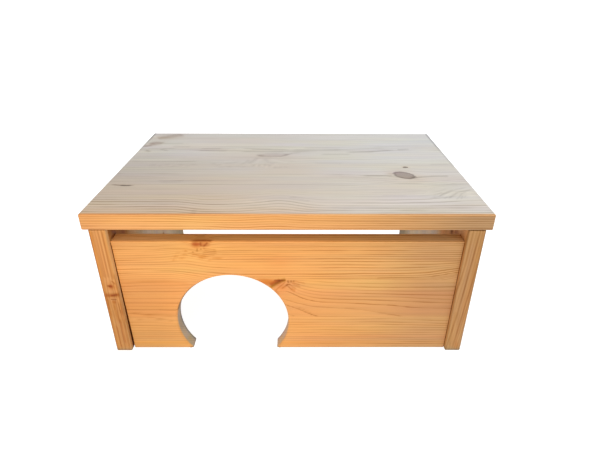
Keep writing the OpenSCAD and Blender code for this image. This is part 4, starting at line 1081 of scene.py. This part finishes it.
def front_shape(co, no):
    out = wear(co, no, 5, 0.08)
    # the left end doesn't quite meet the side board: a gap that opens towards the floor
    x, z = co[:, 0], co[:, 2]
    reach = smooth(-160.0, FRONT_LO[0], x)
    out[:, 0] += reach * (0.12 + 0.33 * smooth(147, 138, z) + 1.35 * smooth(150, 0, z))
    reach = smooth(160.0, FRONT_HI[0], x)
    out[:, 0] -= reach * (0.06 + 0.24 * smooth(147, 135, z))
    u, v, w = front_uvw(co)
    face = (no[:, 1] < -0.9) & (w < 0.5)
    down = np.zeros(len(co))
    for k in front_knots:
        a, b, r, du, dv = knot_space(k, u, v, w)
        own = front_staves[k["stave"]]
        ok = (v > own["lo"]) & (v < own["hi"] + 1)
        down += face * ok * k["rim"] * 0.25 * bump(r, 1.0, 0.12)
    out[:, 1] += down
    return out


def make_front():
    bm = bmesh.new()
    half = math.acos(DOOR_Z / DOOR_R)
    turn = 2 * math.pi - 2 * half
    n = 118
    outline = [(FRONT_LO[0], FRONT_LO[2])]
    # the doorway, from its left foot over the top to its right foot
    start = -math.pi / 2 - half
    for i in range(n + 1):
        a = start - turn * i / n
        x, z = DOOR_X + DOOR_R * math.cos(a), DOOR_Z + DOOR_R * math.sin(a)
        if i in (0, n):
            z = FRONT_LO[2]
        outline.append((x, z))
    outline += [(FRONT_HI[0], FRONT_LO[2]), (FRONT_HI[0], FRONT_HI[2]), (FRONT_LO[0], FRONT_HI[2])]
    y0, y1 = FRONT_LO[1], FRONT_HI[1]
    front = [bm.verts.new((x, y0, z)) for x, z in outline]
    back = [bm.verts.new((x, y1, z)) for x, z in outline]
    bm.faces.new(front)
    bm.faces.new(back[::-1])
    for i in range(len(outline)):
        j = (i + 1) % len(outline)
        bm.faces.new((front[i], front[j], back[j], back[i])[::-1])
    bmesh.ops.recalc_face_normals(bm, faces=bm.faces[:])

    def radius(a, b):
        mid = (a + b) / 2
        door = [abs(math.hypot(p[0] - DOOR_X, p[2] - DOOR_Z) - DOOR_R) < 0.6 or
                (abs(p[2]) < 0.01 and abs(abs(p[0] - DOOR_X) - DOOR_R * math.sin(half)) < 0.6) for p in (a, b)]
        along_y = abs(a[1] - b[1]) > 1
        if all(door) and not along_y:
            return DOOR_EDGE_R
        if along_y:
            if all(door):
                foot = abs(a[2]) < 0.01
                return 0.9 if foot else 0.0
            return JOINT_R
        if abs(a[0] - b[0]) < 0.01:
            return JOINT_R
        return EDGE_R

    bm = rounded("front_blank", bm, radius, 4)
    glue = [s["hi"] for s in front_staves[:-1]]
    cut(bm, 1, lattice(FRONT_LO[1], FRONT_HI[1], 2.2, (), 3.3))
    cut(bm, 2, lattice(FRONT_LO[2], FRONT_HI[2], 2.3, glue))
    cut(bm, 0, lattice(FRONT_LO[0], FRONT_HI[0], 2.4, (), 0.8))

    def near(c, nn):
        u, v, w = front_uvw(c)
        wanted = np.zeros(len(c), bool)
        for k in front_knots:
            a, b, r, du, dv = knot_space(k, u, v, w)
            wanted |= (r < 1.7) & (nn[:, 1] < -0.9)
        for u0, u1, v0, v1 in ((-106, -76, 130, 146), (-32, 16, 70, 99)):
            wanted |= (u > u0) & (u < u1) & (v > v0) & (v < v1) & (nn[:, 1] < -0.9)
        return wanted

    refine(bm, near, 2)
    return finish_board("front_board_wood", "front_board", bm, dict(
        uvw=front_uvw, staves=front_staves, knots=front_knots, u_range=(FRONT_LO[0], FRONT_HI[0]), ring_base=FRONT_BASE,
        lit_tone=front_lit_tone, tones=front_tones, shape=front_shape, material=PINE))


# --- side boards
def make_side(right):
    lo, hi = (RIGHT_LO, RIGHT_HI) if right else (LEFT_LO, LEFT_HI)
    outer = hi[0] if right else lo[0]
    staves = side_staves(right)
    knots = right_knots if right else left_knots
    seed = 9 if right else 7

    def uvw(p):
        return p[:, 2], p[:, 1], np.abs(outer - p[:, 0])

    def lit_tone(p, centre):
        w = np.abs(outer - p[:, 0])
        # painted light: the outer face is amber, painted warm light
        outside = 1 - smooth(2.0, 16.0, w)
        # the inner face is amber only near the doorway end, painted warm bounce light there, and on the rear arris
        far = p[:, 1] - lo[1]
        near = 0.92 * (smooth(112.0, 66.0, far) if right else smooth(115.0, 35.0, far))
        ends = np.maximum(np.maximum(smooth(14.0, 5.0, far), near), smooth(4.0, 0.5, -far - lo[1] + hi[1]))
        a = 0.36 + 0.64 * np.maximum(outside, ends)
        return a + 2.0 * end_grain(centre, 2, lo[2], hi[2])

    def tones(u, v, w):
        n = len(u)
        light, warm, pink = np.zeros(n), np.zeros(n), np.zeros(n)
        pink += 0.03 * noise(u / 60.0, v / 8.0, w / 8.0, seed + 20)
        warm += 0.08 * noise(u / 40.0, v / 9.0, w / 3.0, seed + 21)
        light += 0.05 * noise(u / 30.0, v / 9.0, w / 2.5, seed + 22) - 0.06
        # dimmer towards the floor
        front = smooth(-136.8, -138.4, v)
        light -= front * (0.14 if right else (0.05 + 0.17 * smooth(150, 20, u)))
        warm += front * (-0.18 if right else -0.03)
        pink += front * (-0.055 if right else 0.0)
        # darker and greyer foot: painted shade where it meets the floor
        light -= 0.22 * smooth(6, 0.8, u)
        warm -= 0.60 * smooth(6, 0.8, u)
        pink -= 0.06 * smooth(6, 0.8, u)
        # inner face: the strip in front of the front board is painted paler on the left board and darker on the right
        # one, lit and shaded by the front light, with painted shade in the corner between them
        inner = smooth(16.5, 17.9, w)
        corner = inner * smooth(-134.5, -134.05, v) * smooth(-113, -117, v) * smooth(146.6, 145.8, u)
        strip = inner * smooth(-134.1, -134.9, v)
        light += strip * (-0.14 if right else 0.16)
        pink -= strip * (0.02 if right else 0.09)
        warm -= strip * (0.06 if right else 0.48)
        # dusk behind the front board, dimmer again at the rear
        behind = smooth(-134.4, -133.8, v)
        shadow = np.zeros((n, 3))
        if right:
            light += inner * behind * (0.12 * smooth(-104, -112, v) - 0.12 * smooth(-80, -92, v) - 0.12 * bump(v, -76, 7))
            shadow += (inner * behind * smooth(-40, -66, v))[:, None] * np.array([0.10, 0.22, 0.30]) * (1 - 0.5 * smooth(-100, -110, v))[:, None]
        else:
            deep = inner * behind
            light -= deep * 0.10 * smooth(-45, -85, v)
            shadow += (deep * smooth(-20, -60, v))[:, None] * np.array([0.12, 0.13, 0.20])
            shadow += (deep * smooth(-78, -92, v) * (1 - 0.75 * smooth(-114, -122, v) * smooth(156, 150, u)))[:, None] * np.array([0.28, 0.41, 0.56])
        light += inner * (0.12 if right else -0.05) * smooth(-80, -40, v) * smooth(120, 60, v)
        light -= inner * (0.54 if right else 0.42) * smooth(50, 130, v)
        warm += inner * 0.16 * smooth(30, 130, v)
        tint = shade(light, warm, pink)
        paint(tint, u, w, right_edge_marks if right else left_edge_marks, front)
        outside = 1 - smooth(0.5, 1.6, w)
        paint(tint, u, v, right_outer_marks if right else left_outer_marks, outside)
        if right:
            paint(tint, u, v, right_inner_marks, inner)
        tint *= 1 - np.minimum(shadow, 0.8)
        # painted shade in the corner by the front board
        tint *= 1 - corner[:, None] * (np.array([0.50, 0.66, 0.80]) if right else np.array([0.66, 0.84, 0.95]))
        # painted shade on the outer arris of the front edge, which turns away from the light
        rim = smooth(1.5, 0.3, w) * smooth(-136.5, -138.0, v)
        return tint * (1 - rim[:, None] * np.array([0.36, 0.30, 0.22])), 1 - (0.62 if right else 0.45) * outside * smooth(-89.8, -90.2, v)

    def shape(co, no):
        out = wear(co, no, seed, 0.08)
        if right:
            # the top of this board is a touch low at its front, which leaves a hairline under the roof
            out[:, 2] -= 0.35 * smooth(hi[2] - 30, hi[2], co[:, 2]) * smooth(-60, lo[1], co[:, 1])
        return out

    bm = blank(lo, hi)

    def radius(a, b):
        if abs(a[2] - b[2]) > 1:
            return EDGE_R
        return JOINT_R if a[2] > hi[2] - 1 else EDGE_R

    bm = rounded("side_blank", bm, radius, 3)
    glue = [s["hi"] for s in staves[:-1]]
    cut(bm, 0, lattice(lo[0], hi[0], 2.0))
    cut(bm, 2, lattice(lo[2], hi[2], 2.6, (145.8, 146.6)))
    cut(bm, 1, lattice(lo[1], hi[1], 2.6, glue + [-135.6, -135.0, -134.5, -134.0, -133.4]))
    if not right:
        refine(bm, lambda c, n: (c[:, 2] > 62) & (c[:, 2] < 102) & (n[:, 1] < -0.9), 2)
    name = "right_side_wood" if right else "left_side_wood"
    node = "right_side_board" if right else "left_side_board"
    return finish_board(name, node, bm, dict(
        uvw=uvw, staves=staves, knots=knots, u_range=(lo[2], hi[2]), ring_base=RIGHT_BASE if right else LEFT_BASE,
        lit_tone=lit_tone, tones=tones, shape=shape, material=PINE))


def raw_inside(ob, way):
    """The inner face was never rubbed down, so it has less sheen."""
    ob.data.materials.append(PINE_RAW)
    for face in ob.data.polygons:
        if face.normal[0] * way > 0.9:
            face.material_index = 1


make_roof()
make_front()
raw_inside(make_side(False), 1.0)
raw_inside(make_side(True), -1.0)

for name in ("roof_left_dowels", "roof_right_dowels", "front_left_dowels", "front_right_dowels"):
    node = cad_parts[name]
    for slot in node.material_slots:
        slot.material = BEECH

# ---------------------------------------------------------------- floor, light and camera
def floor_material():
    g = Graph("studio_floor")
    where = g.add("ShaderNodeTexCoord").outputs["Object"]
    grain = g.noise(g.vec("MULTIPLY", where, (60.0, 60.0, 60.0)), 1.0, 3.0, 0.6)
    bsdf = g.add("ShaderNodeBsdfPrincipled")
    g.link(g.ramp(grain, [(0.3, (0.30, 0.30, 0.30)), (0.7, (0.32, 0.32, 0.32))]), bsdf.inputs["Base Color"])
    bsdf.inputs["Roughness"].default_value = 0.9
    bsdf.inputs["Specular IOR Level"].default_value = 0.1
    bsdf.inputs["Emission Color"].default_value = (1.0, 1.0, 1.0, 1.0)
    bsdf.inputs["Emission Strength"].default_value = 0.93
    out = g.add("ShaderNodeOutputMaterial")
    g.link(bsdf.outputs[0], out.inputs["Surface"])
    return g.mat


bm = bmesh.new()
bmesh.ops.create_circle(bm, cap_ends=True, segments=96, radius=30.0)
floor = to_object("studio_floor_disc", bm)
floor.data.materials.append(floor_material())

world = bpy.data.worlds.new("studio_world")
bpy.context.scene.world = world
world.use_nodes = True
tree = world.node_tree
back = tree.nodes["Background"]
# an even white room, brightest overhead, so that the floor is the same white
# everywhere; the camera sees plain white above the horizon
way = tree.nodes.new("ShaderNodeTexCoord")
lobe = tree.nodes.new("ShaderNodeVectorMath")
lobe.operation = "DOT_PRODUCT"
lobe.inputs[1].default_value = (0.03, 0.05, 0.998)
tree.links.new(way.outputs["Generated"], lobe.inputs[0])
sky = tree.nodes.new("ShaderNodeValToRGB")
sky.color_ramp.interpolation = "EASE"
stops = [(0.0, (0.12, 0.12, 0.12)), (0.50, (0.20, 0.20, 0.20)), (0.80, (1.60, 1.65, 1.70)), (1.0, (2.35, 2.44, 2.53))]
while len(sky.color_ramp.elements) < len(stops):
    sky.color_ramp.elements.new(0.5)
for e, (place, colour) in zip(sky.color_ramp.elements, stops):
    e.position = place
    e.color = (*colour, 1.0)
tree.links.new(lobe.outputs["Value"], sky.inputs["Fac"])
seen = tree.nodes.new("ShaderNodeMix")
seen.data_type = "RGBA"
path = tree.nodes.new("ShaderNodeLightPath")
tree.links.new(path.outputs["Is Camera Ray"], seen.inputs["Factor"])
tree.links.new(sky.outputs["Color"], seen.inputs[6])
seen.inputs[7].default_value = (1.0, 1.0, 1.0, 1.0)
tree.links.new(seen.outputs[2], back.inputs["Color"])
back.inputs["Strength"].default_value = 1.0


spot = bpy.data.lights.new("key_front", "SPOT")
spot.energy = 14.6
spot.color = (1.0, 0.81, 0.47)
spot.shadow_soft_size = 0.14
spot.spot_size = math.radians(44)
spot.spot_blend = 1.0
key = bpy.data.objects.new("key_front", spot)
bpy.context.scene.collection.objects.link(key)
key.location = (-0.20, -0.98, 0.32)
key.rotation_euler = (Vector((-0.10, -0.134, 0.11)) - Vector(key.location)).to_track_quat("-Z", "Y").to_euler()
key.visible_camera = False

cam_data = bpy.data.cameras.new("camera")
cam_data.sensor_fit = "HORIZONTAL"
cam_data.sensor_width = 36.0
cam_data.lens = 27.168
cam_data.clip_start = 0.01
cam_data.clip_end = 100.0
camera = bpy.data.objects.new("camera", cam_data)
bpy.context.scene.collection.objects.link(camera)
yaw, pitch, roll = math.radians(0.417), math.radians(28.116), math.radians(0.257)
ahead = Vector((math.sin(yaw) * math.cos(pitch), math.cos(yaw) * math.cos(pitch), -math.sin(pitch)))
right = Vector((math.cos(yaw), -math.sin(yaw), 0.0))
up = right.cross(ahead)
right2 = right * math.cos(roll) + up * math.sin(roll)
up2 = -right * math.sin(roll) + up * math.cos(roll)
turned = Matrix((right2, up2, -ahead)).transposed().to_4x4()
camera.matrix_world = Matrix.Translation((0.00956, -0.54329, 0.38541)) @ turned
bpy.context.scene.camera = camera
bpy.context.scene.view_settings.view_transform = "Standard"
bpy.context.scene.view_settings.look = "None"
